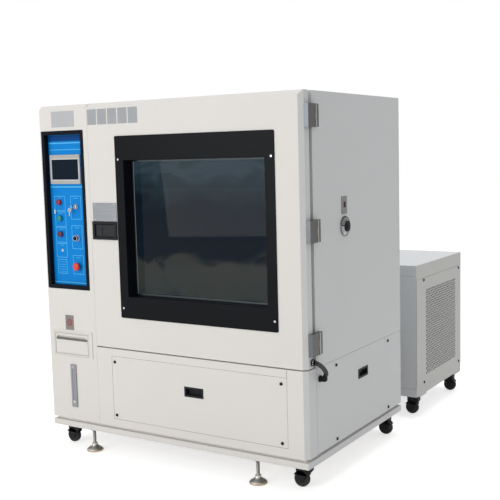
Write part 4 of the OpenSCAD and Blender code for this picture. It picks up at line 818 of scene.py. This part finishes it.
class CHAMBER_OT_controls(bpy.types.Operator):
    """Control bezel, blue plate with its printed frames, screen and controls"""
    bl_idname = "chamber.controls"
    bl_label = "Control panel"

    def execute(self, context):
        low, high = shop("control_bezel")
        rect = outline("control_bezel")
        inner = widen(rect, -BEZEL_WIDTH)
        front = -2
        piece("bezel_frame",
              build((add_frame, rect, inner, front, 0.5, 0.9, 5),
                    (add_frame, widen(inner, 11), inner, 0, 26, 0.3)),
              "cabinet", "bezel_black", "black_coat", "control_bezel")
        face = shop("control_plate")[1].y - 3
        refined("control_plate", "cabinet", "plate_blue", "blue_coat", 0.5, 0.9)
        prints = bmesh.new()
        proud, sunk = face - 0.35, face + 0.1
        for rect in PRINT_FRAMES:
            add_frame(prints, rect, widen(rect, -PRINT_WIDTH), proud, sunk, 0)
        for x0, x1, z0, z1 in PRINT_LINES:
            add_block(prints, x0, x1, proud, sunk, z0, z1, 0)
        piece("plate_printing", prints, "cabinet", "print_light", "blue_coat")
        piece("plate_header",
              build((add_block, inner[0] + 2, inner[1] - 2, face - 0.3, sunk, HEADER_Z,
                     inner[3] - 2, 0)), "cabinet", "header_blue", "blue_coat")
        spots = [(x, front, z) for x in (low.x + 10, high.x - 10)
                 for z in (low.z + 10, high.z - 10)]
        screws("bezel_screws", "cabinet", "plastic_black", "black_plastic", spots,
               [(0, 0.4), (1.3, 0.4), (1.6, 1.0), (2.8, 0.9), (3.2, 0.0)], 18)
        self.screen(face)
        self.collars(face)
        self.buttons()
        self.switches()
        return {"FINISHED"}

    def screen(self, face):
        """Touch screen with its frame, inner rim, dark glass and the box behind the plate."""
        low, high = shop("touch_screen")
        glass = (low.x + 13, high.x - 12, low.z + 22, high.z - 24)
        piece("screen_frame",
              build((add_frame, outline("touch_screen"), glass, low.y, face, 1.8, 6)),
              "cabinet", "screen_bezel", "grey_plastic", "touch_screen")
        piece("screen_inner_rim",
              build((add_frame, widen(glass, 5), glass, low.y - 0.4, low.y + 1, 0.5, 2)),
              "cabinet", "screen_rim", "grey_plastic")
        pane = widen(glass, 1)
        piece("screen_glass",
              build((add_block, *pane[:2], low.y + 2.2, low.y + 4, *pane[2:], 0.2)),
              "cabinet", "screen_glass", "black_plastic")
        back = widen(outline("touch_screen"), -9)
        piece("screen_back", build((add_block, *back[:2], face + 4, high.y, *back[2:], 1.0)),
              "cabinet", "plastic_black", "black_plastic")

    def collars(self, face):
        """Bright collars of the buttons, the key switch and the selector, and a small catch."""
        collars = bmesh.new()
        for x, z, r in COLLARS:
            add_lathe(collars, "-Y", (x, face, z),
                      [(r, 0), (r - 0.4, 3.6), (r - 1.6, 4.9), (12.2, 4.9), (11.4, 4.2),
                       (11.3, 0)], 36)
        # the selector's sleeve
        add_lathe(collars, "-Y", (x, face, z),
                  [(14.8, 0), (14.8, 18), (13.8, 19.6), (11.4, 19.6), (10.8, 18), (10.8, 0)], 36)
        # small catch beside the alarm lamp, and the socket below the lamps
        add_block(collars, 51, 60, face - 7, face, 1211, 1233, 1.5)
        add_lathe(collars, "-Y", (92, face, 1027),
                  [(0, 0.6), (4.4, 0.6), (5, 2.2), (7.2, 2.0), (7.6, 0)], 24)
        piece("button_collars", collars, "cabinet", "chrome", "chrome")

    def buttons(self):
        """The flared caps of the three lamp buttons and the emergency stop's head."""
        cap = [(0, 0), (10.6, 0), (10.6, 13), (13.8, 13.8), (14.8, 15.6), (15, 24),
               (14.2, 26.6), (12, 28.2), (8, 28.9), (0, 29.0)]
        for body, lamp, slot in (("power", "lamp_red", "red_plastic"),
                                 ("run", "lamp_green", "green_plastic"),
                                 ("alarm", "lamp_dark", "dark_red_plastic")):
            node = body + "_button"
            x, _, z = centre(node)
            piece(node + "_cap", build((add_lathe, "-Y", (x, shop(node)[1].y, z), cap, 36)),
                  body, lamp, slot, node)
        low, high = shop("emergency_stop")
        x, _, z = centre("emergency_stop")
        depth = high.y - low.y
        head = [(0, 0), (10.6, 0), (10.6, depth - 14.5), (17, depth - 14), (19.6, depth - 12),
                (19.9, depth - 8), (19.2, depth - 4.5), (16.5, depth - 1.8), (11, depth - 0.4),
                (0, depth - 0.1)]
        piece("stop_head", build((add_lathe, "-Y", (x, high.y, z), head, 40)), "estop",
              "stop_red", "red_plastic", "emergency_stop")

    def switches(self):
        """The mode selector, and the key switch with its key and a second key hanging."""
        low, high = shop("mode_selector")
        x, _, z = centre("mode_selector")
        knob = build((add_lathe, "-Y", (x, high.y, z),
                      [(0, 0), (10.4, 0), (10.4, 19), (10.6, 21), (10.2, 25.5), (9, 26.6),
                       (0, 26.8)], 36),
                     (add_block, x - 3.4, x + 3.4, low.y + 0.2, low.y + 12, z - 10.4, z + 10.4,
                      1.6, 3))
        piece("selector_knob", knob, "selector", "plastic_black", "black_plastic",
              "mode_selector")
        low, high = shop("key_switch")
        x, _, z = centre("key_switch")
        y = low.y + 11
        key = build(
            (add_lathe, "-Y", (x, high.y, z),
             [(0, 0), (10.6, 0), (10.6, 22), (9.8, 24.6), (8, 25.4), (0, 25.4)], 36),
            (add_block, x - 1.1, x + 1.1, low.y + 16, high.y - 21, z - 3.8, z + 3.8, 0.3),
            (add_lathe, "X", (x - 1.2, y, z),
             [(4.2, 0), (10.8, 0), (11, 0.4), (11, 2.0), (10.8, 2.4), (4.2, 2.4), (4.0, 2.0),
              (4.0, 0.4), (4.2, 0)], 32),
            # the second key and the ring that it hangs from
            (add_lathe, "-Y", (x - 25, y + 1.2, z - 15),
             [(3.6, 0), (10.2, 0), (10.6, 0.5), (10.6, 2.0), (10.2, 2.5), (3.6, 2.5),
              (3.6, 0)], 28),
            (add_block, x - 28, x - 23, y - 1.2, y + 1.0, z - 44, z - 24, 0.5),
            (add_lathe, "-Y", (x - 14, y + 0.6, z - 5),
             [(8.4, 0), (9.8, 0), (9.8, 1.2), (8.4, 1.2), (8.4, 0)], 24))
        piece("key_barrel", key, "key", "chrome", "chrome", "key_switch")


class CHAMBER_OT_gauge(bpy.types.Operator):
    """Water level gauge below the drawer"""
    bl_idname = "chamber.gauge"
    bl_label = "Level gauge"

    def execute(self, context):
        low, high = shop("level_gauge")
        x = centre("level_gauge")[0]
        face = -6
        body = build((add_frame, outline("level_gauge"), (x - 7, x + 7, low.z + 26, high.z - 26),
                      face, 0, 1.4, 3),
                     (add_block, x - 8, x + 8, -2.4, 0, low.z + 20, high.z - 20, 0))
        piece("gauge_body", body, "cabinet", "gauge_grey", "clear_plastic", "level_gauge")
        piece("gauge_tube",
              build((add_block, x - 6.4, x + 6.4, -5.2, -2, low.z + 26.6, high.z - 26.6, 1.2)),
              "cabinet", "gauge_grey", "clear_plastic")
        screws("gauge_screws", "cabinet", "zinc", "plated_steel",
               [(x, face, z) for z in (low.z + 13, high.z - 13)],
               [(0, 0.5), (2, 0.5), (2.4, 1.3), (4.4, 1.2), (5, 0)], 20)
        piece("gauge_cap",
              build((add_block, x - 8, x + 8, -6.6, -5.4, low.z + 21, low.z + 34, 0.4)),
              "cabinet", "screen_rim", "white_coat")
        return {"FINISHED"}


class CHAMBER_OT_plates(bpy.types.Operator):
    """Bare label plates on the door, the blank badge and the plate with its ring"""
    bl_idname = "chamber.plates"
    bl_label = "Label plates"

    def execute(self, context):
        labels = build(*((add_block, x, x + LABEL_WIDTH, -0.9, 0, *LABEL_Z, 0.3)
                         for x in LABEL_LEFTS))
        piece("door_label_plates", labels, "door", "label_plate", "white_coat")
        piece("column_badge_blank", build((add_block, *BADGE[:2], -1.2, 0, *BADGE[2:], 0.5)),
              "cabinet", "badge_plate", "white_coat")
        piece("sign_plate", build((add_block, *SIGN[:2], -1.0, 0, *SIGN[2:], 0.4)), "cabinet",
              "sign_grey", "grey_plastic")
        ring = build((add_lathe, "-Y", SIGN_CENTRE, [(11, 0), (11, 0.4), (17, 0.4), (17, 0)], 36),
                     (add_lathe, "-Y", SIGN_CENTRE, [(0, 0.4), (5, 0.4), (5.2, 0)], 28))
        piece("sign_ring", ring, "cabinet", "sign_red", "red_plastic")
        return {"FINISHED"}


class CHAMBER_OT_port(bpy.types.Operator):
    """Cable port on the right side with its rubber plug and cover plate"""
    bl_idname = "chamber.port"
    bl_label = "Cable port"

    def execute(self, context):
        low = shop("cable_port")[0]
        limit = at(0, 0, low.z + PORT_FLANGE + 5).z
        # the ring's port_steel carries painted reflections
        for name, upper, finish, nodes in (
                ("cable_port_ring", False, "port_steel", ("cable_port",)),
                ("port_cover_plate", True, "plate_grey", ())):
            part = build((add_copy, "cable_port"))
            drop(part, lambda co: (co.z > limit) != upper)
            bevel(part, sharp_edges(part), 1.0)
            piece(name, part, "cabinet", finish, "stainless", *nodes)
        # reddish indicator slot in the cover plate
        x = shop("outer_casing")[1].x + 3
        y, z = low.y + PORT_FLANGE, low.z + PORT_FLANGE + 100
        piece("port_cover_slot",
              build((add_block, x - 0.2, x + 0.5, y - 12, y + 8, z - 14, z + 12, 0.2)),
              "cabinet", "slot_red", "dark_red_plastic")
        refined("port_plug", "plug", "rubber_black", "rubber", 2.0, 0.5)
        return {"FINISHED"}


class CHAMBER_OT_conduit(bpy.types.Operator):
    """Corrugated conduit from the door's gland to the elbow on the side"""
    bl_idname = "chamber.conduit"
    bl_label = "Door conduit"

    def execute(self, context):
        a, b, c, d = (at(*point) for point in CONDUIT)

        def spot(t):
            return (a * (1 - t) ** 3 + b * 3 * t * (1 - t) ** 2 + c * 3 * t * t * (1 - t)
                    + d * t ** 3)

        bm = bmesh.new()
        rings = context.scene.chamber_sizes.conduit_ribs * len(RIB)
        last = None
        for i in range(rings + 1):
            t = i / rings
            along = (spot(min(1, t + 0.01)) - spot(max(0, t - 0.01))).normalized()
            side = along.cross(Vector((0.3, 1, 0.2))).normalized()
            turn = Matrix((side, along.cross(side), along)).transposed().to_4x4()
            ring = bmesh.ops.create_circle(
                bm, segments=20, radius=RIB[i % 4],
                matrix=Matrix.Translation(spot(t)) @ turn)["verts"]
            edges = edges_of(ring)
            if last:
                bmesh.ops.bridge_loops(bm, edges=last + edges)
                edges = [e for e in edges_of(ring) if e.verts[0] in ring and e.verts[1] in ring]
            last = edges
        bmesh.ops.recalc_face_normals(bm, faces=bm.faces[:])
        tube = piece("door_conduit_hose", bm, None, "conduit_black", "rubber", "door_conduit")
        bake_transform(tube)
        elbow = build((add_lathe, "X", (CASING_RIGHT, *ELBOW[1:]),
                       [(0, 0), (15, 0), (15.5, 4), (12.4, 5), (12.4, 24), (0, 24)], 28))
        bmesh.ops.create_uvsphere(elbow, u_segments=28, v_segments=18, radius=0.0124,
                                  matrix=Matrix.Translation(at(*ELBOW)))
        add_drum(elbow, ELBOW, 12.4, 14, 28, 1.0)
        piece("conduit_elbow", elbow, "cabinet", "plastic_black", "black_plastic")
        # eight sides, as the gland's nut would be turned with a spanner
        gland = build((add_lathe, "X", (CASING_RIGHT, *CONDUIT[0][1:]),
                       [(0, 0), (16, 0), (16, 6), (14.4, 7), (14.4, 12.2), (0, 12.2)], 8))
        piece("conduit_gland", gland, "door", "plastic_black", "black_plastic")
        return {"FINISHED"}


class CHAMBER_OT_casters(bpy.types.Operator):
    """Casters and levelling feet"""
    bl_idname = "chamber.casters"
    bl_label = "Casters and feet"

    def execute(self, context):
        for prefix in ("", "unit_"):
            for side in ("left", "right"):
                refined(f"{prefix}caster_fork_front_{side}", f"{prefix}fork_{side}",
                        "plastic_black", "black_coat", 1.2)
                for end in ("front", "rear"):
                    self.wheel(f"{prefix}caster_wheel_{end}_{side}",
                               f"{prefix}wheel_{end}_{side}")
        for prefix in ("", "unit_"):
            for end in ("front", "rear"):
                for side in ("left", "right"):
                    self.hood(prefix, end, side)
        for end in ("front", "rear"):
            for side in ("left", "right"):
                self.foot(f"foot_{end}_{side}")
        return {"FINISHED"}

    def wheel(self, node, body):
        """A turned wheel with a raised hub and a rounded tread."""
        low, high = shop(node)
        x, _, r = centre(node)
        w = high.y - low.y
        profile = [(6.1, 2), (11, 2), (12, 0.3), (15, 0.3), (16.5, 3), (r - 13, 3.5),
                   (r - 11, 0.8), (r - 6, 0), (r - 2, 1.6), (r - 0.4, 5), (r, w / 2),
                   (r - 0.4, w - 5), (r - 2, w - 1.6), (r - 6, w), (r - 11, w - 0.8),
                   (r - 13, w - 3.5), (16.5, w - 3), (15, w - 0.3), (12, w - 0.3), (11, w - 2),
                   (6.1, w - 2), (6.1, 2)]
        piece(node + "_tyre", build((add_lathe, "-Y", (x, high.y, r), profile, 48)), body,
              "tyre_black", "tyre", node)

    def hood(self, prefix, end, side):
        """A round hood over the top of a wheel, between the fork's cheeks."""
        fork_low, fork_high = shop(f"{prefix}caster_fork_front_left")
        half = (fork_high.y - fork_low.y) / 2
        wheel = f"{prefix}caster_wheel_{end}_{side}"
        x, y, _ = centre(wheel)
        r = shop(wheel)[1].z / 2
        outer, cheek = r + 2.4, 3.6
        hood = build((add_arch, x, r, outer, r + 1.0, y - half + 0.4, y + half - 0.4),
                     *((add_arch, x, r, outer, 0, near, near + cheek)
                       for near in (y - half, y + half - cheek)))
        body = f"{prefix}fork_{side}" if end == "front" else "cabinet"
        piece(f"{prefix}caster_hood_{end}_{side}", hood, body, "plastic_black", "black_coat")

    def foot(self, node):
        """A levelling foot turned in one piece with its thread, and its brass rim."""
        x, y, _ = centre(node)
        top = shop(node)[1].z
        profile = [(0, 0), (39, 0), (41, 2), (41, 8), (39.5, 10), (35, 14.5), (22, 22),
                   (17, 27), (14, 32), (13.6, 39), (12, 40), (8, 40.2)]
        z, pitch = 42.0, 1.8
        while z < top - 2:
            profile += [(8.0, z), (7.2, z + pitch / 2)]
            z += pitch
        profile += [(6.5, top), (0, top)]
        piece(node + "_turned", build((add_lathe, "Z", (x, y, 0), profile, 32)), node, "zinc",
              "plated_steel", node, smooth=50)
        rim = [(38, 0.6), (41.8, 0.6), (42.2, 2), (42.2, 7), (41.4, 8.2), (38, 8.6), (38, 0.6)]
        piece(node + "_rim", build((add_lathe, "Z", (x, y, 0), rim, 32)), node, "brass_rim",
              "plated_steel")


class CHAMBER_OT_inside(bpy.types.Operator):
    """Test space, shelves, baffle, circulator and insulation"""
    bl_idname = "chamber.inside"
    bl_label = "Test space"

    def execute(self, context):
        refined("chamber_liner", "cabinet", "liner_steel", "stainless", 1.0)
        refined("air_baffle", "cabinet", "liner_steel", "stainless", 0.4)
        for node, finish in (("wire_shelves", "chrome"), ("circulation_fan", "alloy_grey"),
                             ("fan_motor", "alloy_grey"), ("insulation", "foam_tan")):
            dress(node, finish)
        return {"FINISHED"}


class CHAMBER_OT_unit(bpy.types.Operator):
    """Condensing unit with its perforated side"""
    bl_idname = "chamber.unit"
    bl_label = "Condensing unit"

    def execute(self, context):
        split_forks("unit_base", "powder_unit", "grey_coat", 1.0)
        refined("unit_casing", "cabinet", "powder_unit", "grey_coat", 1.6)
        refined("condensing_set", "cabinet", "alloy_grey", "alloy", 0.8)
        dress("condenser_fan", "plastic_black")
        dress("refrigerant_lines", "rubber_black")
        self.perforated(context.scene.chamber_sizes)
        low, high = shop("unit_casing")
        seams = build(*((add_block, low.x + 3, high.x - 3, low.y - 0.3, low.y + 0.3, z - 1.2,
                         z + 1.2, 0) for z in (shop("unit_base")[1].z + 1, high.z - 58)))
        piece("unit_front_seams", seams, "cabinet", "line_grey", "grey_coat")
        low, high = shop("unit_side_panels")
        # painted shade: a dark sheet behind the holes stands for the shade inside the unit
        piece("unit_shade_backing",
              build((add_block, high.x - 9, high.x - 6, low.y + 120, high.y - 84, *BACKING_Z, 0.5)),
              "cabinet", "backing_black", "foam")
        return {"FINISHED"}

    def perforated(self, sizes):
        """The right side panel: a sheet with a dense field of small staggered holes."""
        low, high = shop("unit_side_panels")
        pitch, rise = sizes.perf_pitch, sizes.perf_rise
        y0, y1 = low.y + 132, high.y - 96
        z0, z1 = PERFORATED_Z
        rows = int((z1 - z0) / rise)
        cols = int((y1 - y0) / pitch)
        bm = bmesh.new()

        def face(ya, yb, za, zb):
            bm.faces.new([bm.verts.new(at(high.x, y, z)) for y, z in
                          ((ya, za), (yb, za), (yb, zb), (ya, zb))])

        cell = self.hole_cell(pitch, rise, sizes.perf_radius)
        field_y1 = y0 + cols * pitch + pitch / 2
        for i in range(rows):
            shift = (i % 2) * pitch / 2
            for j in range(cols):
                first = len(bm.verts)
                bm.from_mesh(cell)
                bm.verts.ensure_lookup_table()
                bmesh.ops.translate(bm, verts=bm.verts[first:],
                                    vec=at(high.x, y0 + j * pitch + shift, z0 + i * rise))
            za, zb = z0 + i * rise, z0 + (i + 1) * rise
            if shift:
                face(y0, y0 + shift, za, zb)
            else:
                face(field_y1 - pitch / 2, field_y1, za, zb)
        bpy.data.meshes.remove(cell)
        top = z0 + rows * rise
        face(low.y, y0, z0, top)
        face(field_y1, high.y, z0, top)
        face(low.y, high.y, low.z, z0)
        face(low.y, high.y, top, high.z)
        bmesh.ops.remove_doubles(bm, verts=bm.verts[:], dist=1e-6)
        panel = piece("perforated_panel", bm, "cabinet", "powder_unit", "grey_coat",
                      "unit_side_panels", smooth=0)
        sheet = panel.modifiers.new("Sheet", "SOLIDIFY")
        sheet.thickness = 0.0012
        sheet.offset = -1
        # the louvred sheet on the left
        louvred = build((add_copy, "unit_side_panels"))
        middle = (at(low.x, 0, 0).x + at(high.x, 0, 0).x) / 2
        drop(louvred, lambda co: co.x > middle)
        piece("louvred_panel", louvred, "cabinet", "powder_unit", "grey_coat")

    def hole_cell(self, pitch, rise, radius):
        """The mesh of one hole in its oblong of sheet, in the YZ plane, facing right."""
        cell = bmesh.new()
        corners = [cell.verts.new(Vector((0, y, z)) / 1000) for y, z in
                   ((0, 0), (pitch, 0), (pitch, rise), (0, rise))]
        edges = [cell.edges.new((corners[i], corners[(i + 1) % 4])) for i in range(4)]
        middle = Matrix.Translation(Vector((0, pitch / 2, rise / 2)) / 1000)
        ring = bmesh.ops.create_circle(cell, segments=12, radius=radius / 1000,
                                       matrix=middle @ Matrix.Rotation(QUARTER, 4, "Y"))
        edges += edges_of(ring["verts"])
        bmesh.ops.bridge_loops(cell, edges=edges)
        bmesh.ops.recalc_face_normals(cell, faces=cell.faces[:])
        cell.faces.ensure_lookup_table()
        if cell.faces[0].normal.x < 0:
            bmesh.ops.reverse_faces(cell, faces=cell.faces[:])
        mesh = bpy.data.meshes.new("hole_cell")
        cell.to_mesh(mesh)
        cell.free()
        return mesh


class CHAMBER_OT_stage(bpy.types.Operator):
    """Camera, floor, lights and room light"""
    bl_idname = "chamber.stage"
    bl_label = "Stage"

    def execute(self, context):
        scene = context.scene
        stage = scene.chamber_stage
        scene.view_settings.view_transform = "Standard"
        heading, tilt, roll = (math.radians(v) for v in stage.camera_turn)
        data = bpy.data.cameras.new("Camera")
        data.lens = stage.lens
        data.sensor_width = 36
        data.clip_end = 100
        cam = bpy.data.objects.new("Camera", data)
        scene.collection.objects.link(cam)
        turn = (Matrix.Rotation(heading, 4, "Z") @ Matrix.Rotation(tilt, 4, "X")
                @ Matrix.Rotation(roll, 4, "Y") @ Matrix.Rotation(QUARTER, 4, "X"))
        cam.matrix_world = Matrix.Translation(CORNER + Vector(stage.camera_place)) @ turn
        scene.camera = cam
        self.floor()
        cabinet = Vector((0, -0.4, 0.9))
        self.softbox("Key", (-2.4, -7.6, 2.8), cabinet, 5.0, stage.key_power)
        self.softbox("Fill", (5.2, -3.2, 2.2), cabinet, 3.0, stage.fill_power)
        self.softbox("Top", (0.2, 0.9, 5.2), Vector((0.3, 0.6, 0.6)), 3.0, stage.top_power)
        scene.world = bpy.data.worlds.new("Room")
        scene.world.use_nodes = True
        tree = scene.world.node_tree
        level = map_range(tree, self.seen_by_eye(tree), to_min=stage.world_level, to_max=1.0)
        feed(tree, tree.nodes["Background"], {"Strength": level, "Color": (1, 1, 1, 1)})
        return {"FINISHED"}

    def seen_by_eye(self, tree):
        """1 for camera, glossy and transmission rays."""
        path = add_node(tree, "LightPath", {})
        first = add_node(tree, "Math", {0: path["Is Camera Ray"], 1: path["Is Glossy Ray"]},
                         operation="MAXIMUM")
        both = {0: first["Value"], 1: path["Is Transmission Ray"]}
        return add_node(tree, "Math", both, operation="MAXIMUM")["Value"]

    def floor(self):
        bm = bmesh.new()
        bmesh.ops.create_grid(bm, x_segments=1, y_segments=1, size=30)
        mesh = bpy.data.meshes.new("Floor")
        bm.to_mesh(mesh)
        bm.free()
        obj = bpy.data.objects.new("Floor", mesh)
        bpy.context.scene.collection.objects.link(obj)
        tree, shader, _ = start_material("floor_white")
        feed(tree, shader, {
            "Base Color": (0.82, 0.82, 0.81, 1), "Roughness": 0.9, "Specular IOR Level": 0.1,
            "Emission Color": (1, 1, 1, 1),
            "Emission Strength": map_range(tree, self.seen_by_eye(tree), to_max=0.62)})
        mesh.materials.append(FINISH["floor_white"])

    def softbox(self, name, place, target, size, power):
        data = bpy.data.lights.new(name, "AREA")
        data.shape = "SQUARE"
        data.size = size
        data.energy = power
        lamp = bpy.data.objects.new(name, data)
        bpy.context.scene.collection.objects.link(lamp)
        aim = (target - Vector(place)).to_track_quat("-Z", "Y")
        lamp.matrix_world = Matrix.Translation(place) @ aim.to_matrix().to_4x4()


PIECES = (CHAMBER_OT_cabinet, CHAMBER_OT_fasteners, CHAMBER_OT_door, CHAMBER_OT_window,
          CHAMBER_OT_latch, CHAMBER_OT_hinges, CHAMBER_OT_controls, CHAMBER_OT_gauge,
          CHAMBER_OT_plates, CHAMBER_OT_port, CHAMBER_OT_conduit, CHAMBER_OT_casters,
          CHAMBER_OT_inside, CHAMBER_OT_unit)


class CHAMBER_PT_panel(bpy.types.Panel):
    bl_idname = "CHAMBER_PT_panel"
    bl_label = "Test chamber"
    bl_space_type = "VIEW_3D"
    bl_region_type = "UI"
    bl_category = "Chamber"

    def draw(self, context):
        layout = self.layout
        for label, owner in (("Finish", context.scene.chamber_finish),
                             ("Sizes", context.scene.chamber_sizes),
                             ("Stage", context.scene.chamber_stage)):
            layout.label(text=label)
            for key in type(owner).__annotations__:
                layout.prop(owner, key)
        for cls in PIECES + (CHAMBER_OT_stage,):
            layout.operator(cls.bl_idname)


CLASSES = (ChamberFinish, ChamberSizes, ChamberStage, *PIECES, CHAMBER_OT_stage,
           CHAMBER_PT_panel)


def register():
    for cls in CLASSES:
        bpy.utils.register_class(cls)
    bpy.types.Scene.chamber_finish = bpy.props.PointerProperty(type=ChamberFinish)
    bpy.types.Scene.chamber_sizes = bpy.props.PointerProperty(type=ChamberSizes)
    bpy.types.Scene.chamber_stage = bpy.props.PointerProperty(type=ChamberStage)


def unregister():
    del bpy.types.Scene.chamber_stage
    del bpy.types.Scene.chamber_sizes
    del bpy.types.Scene.chamber_finish
    for cls in reversed(CLASSES):
        bpy.utils.unregister_class(cls)


def main():
    register()
    make_finishes()
    bpy.ops.chamber.stage()
    bpy.ops.chamber.cabinet()
    bpy.ops.chamber.fasteners()
    bpy.ops.chamber.door()
    bpy.ops.chamber.window()
    bpy.ops.chamber.latch()
    bpy.ops.chamber.hinges()
    bpy.ops.chamber.controls()
    bpy.ops.chamber.gauge()
    bpy.ops.chamber.plates()
    bpy.ops.chamber.port()
    bpy.ops.chamber.conduit()
    bpy.ops.chamber.casters()
    bpy.ops.chamber.inside()
    bpy.ops.chamber.unit()
    bpy.context.view_layer.update()


if __name__ == "__main__":
    main()
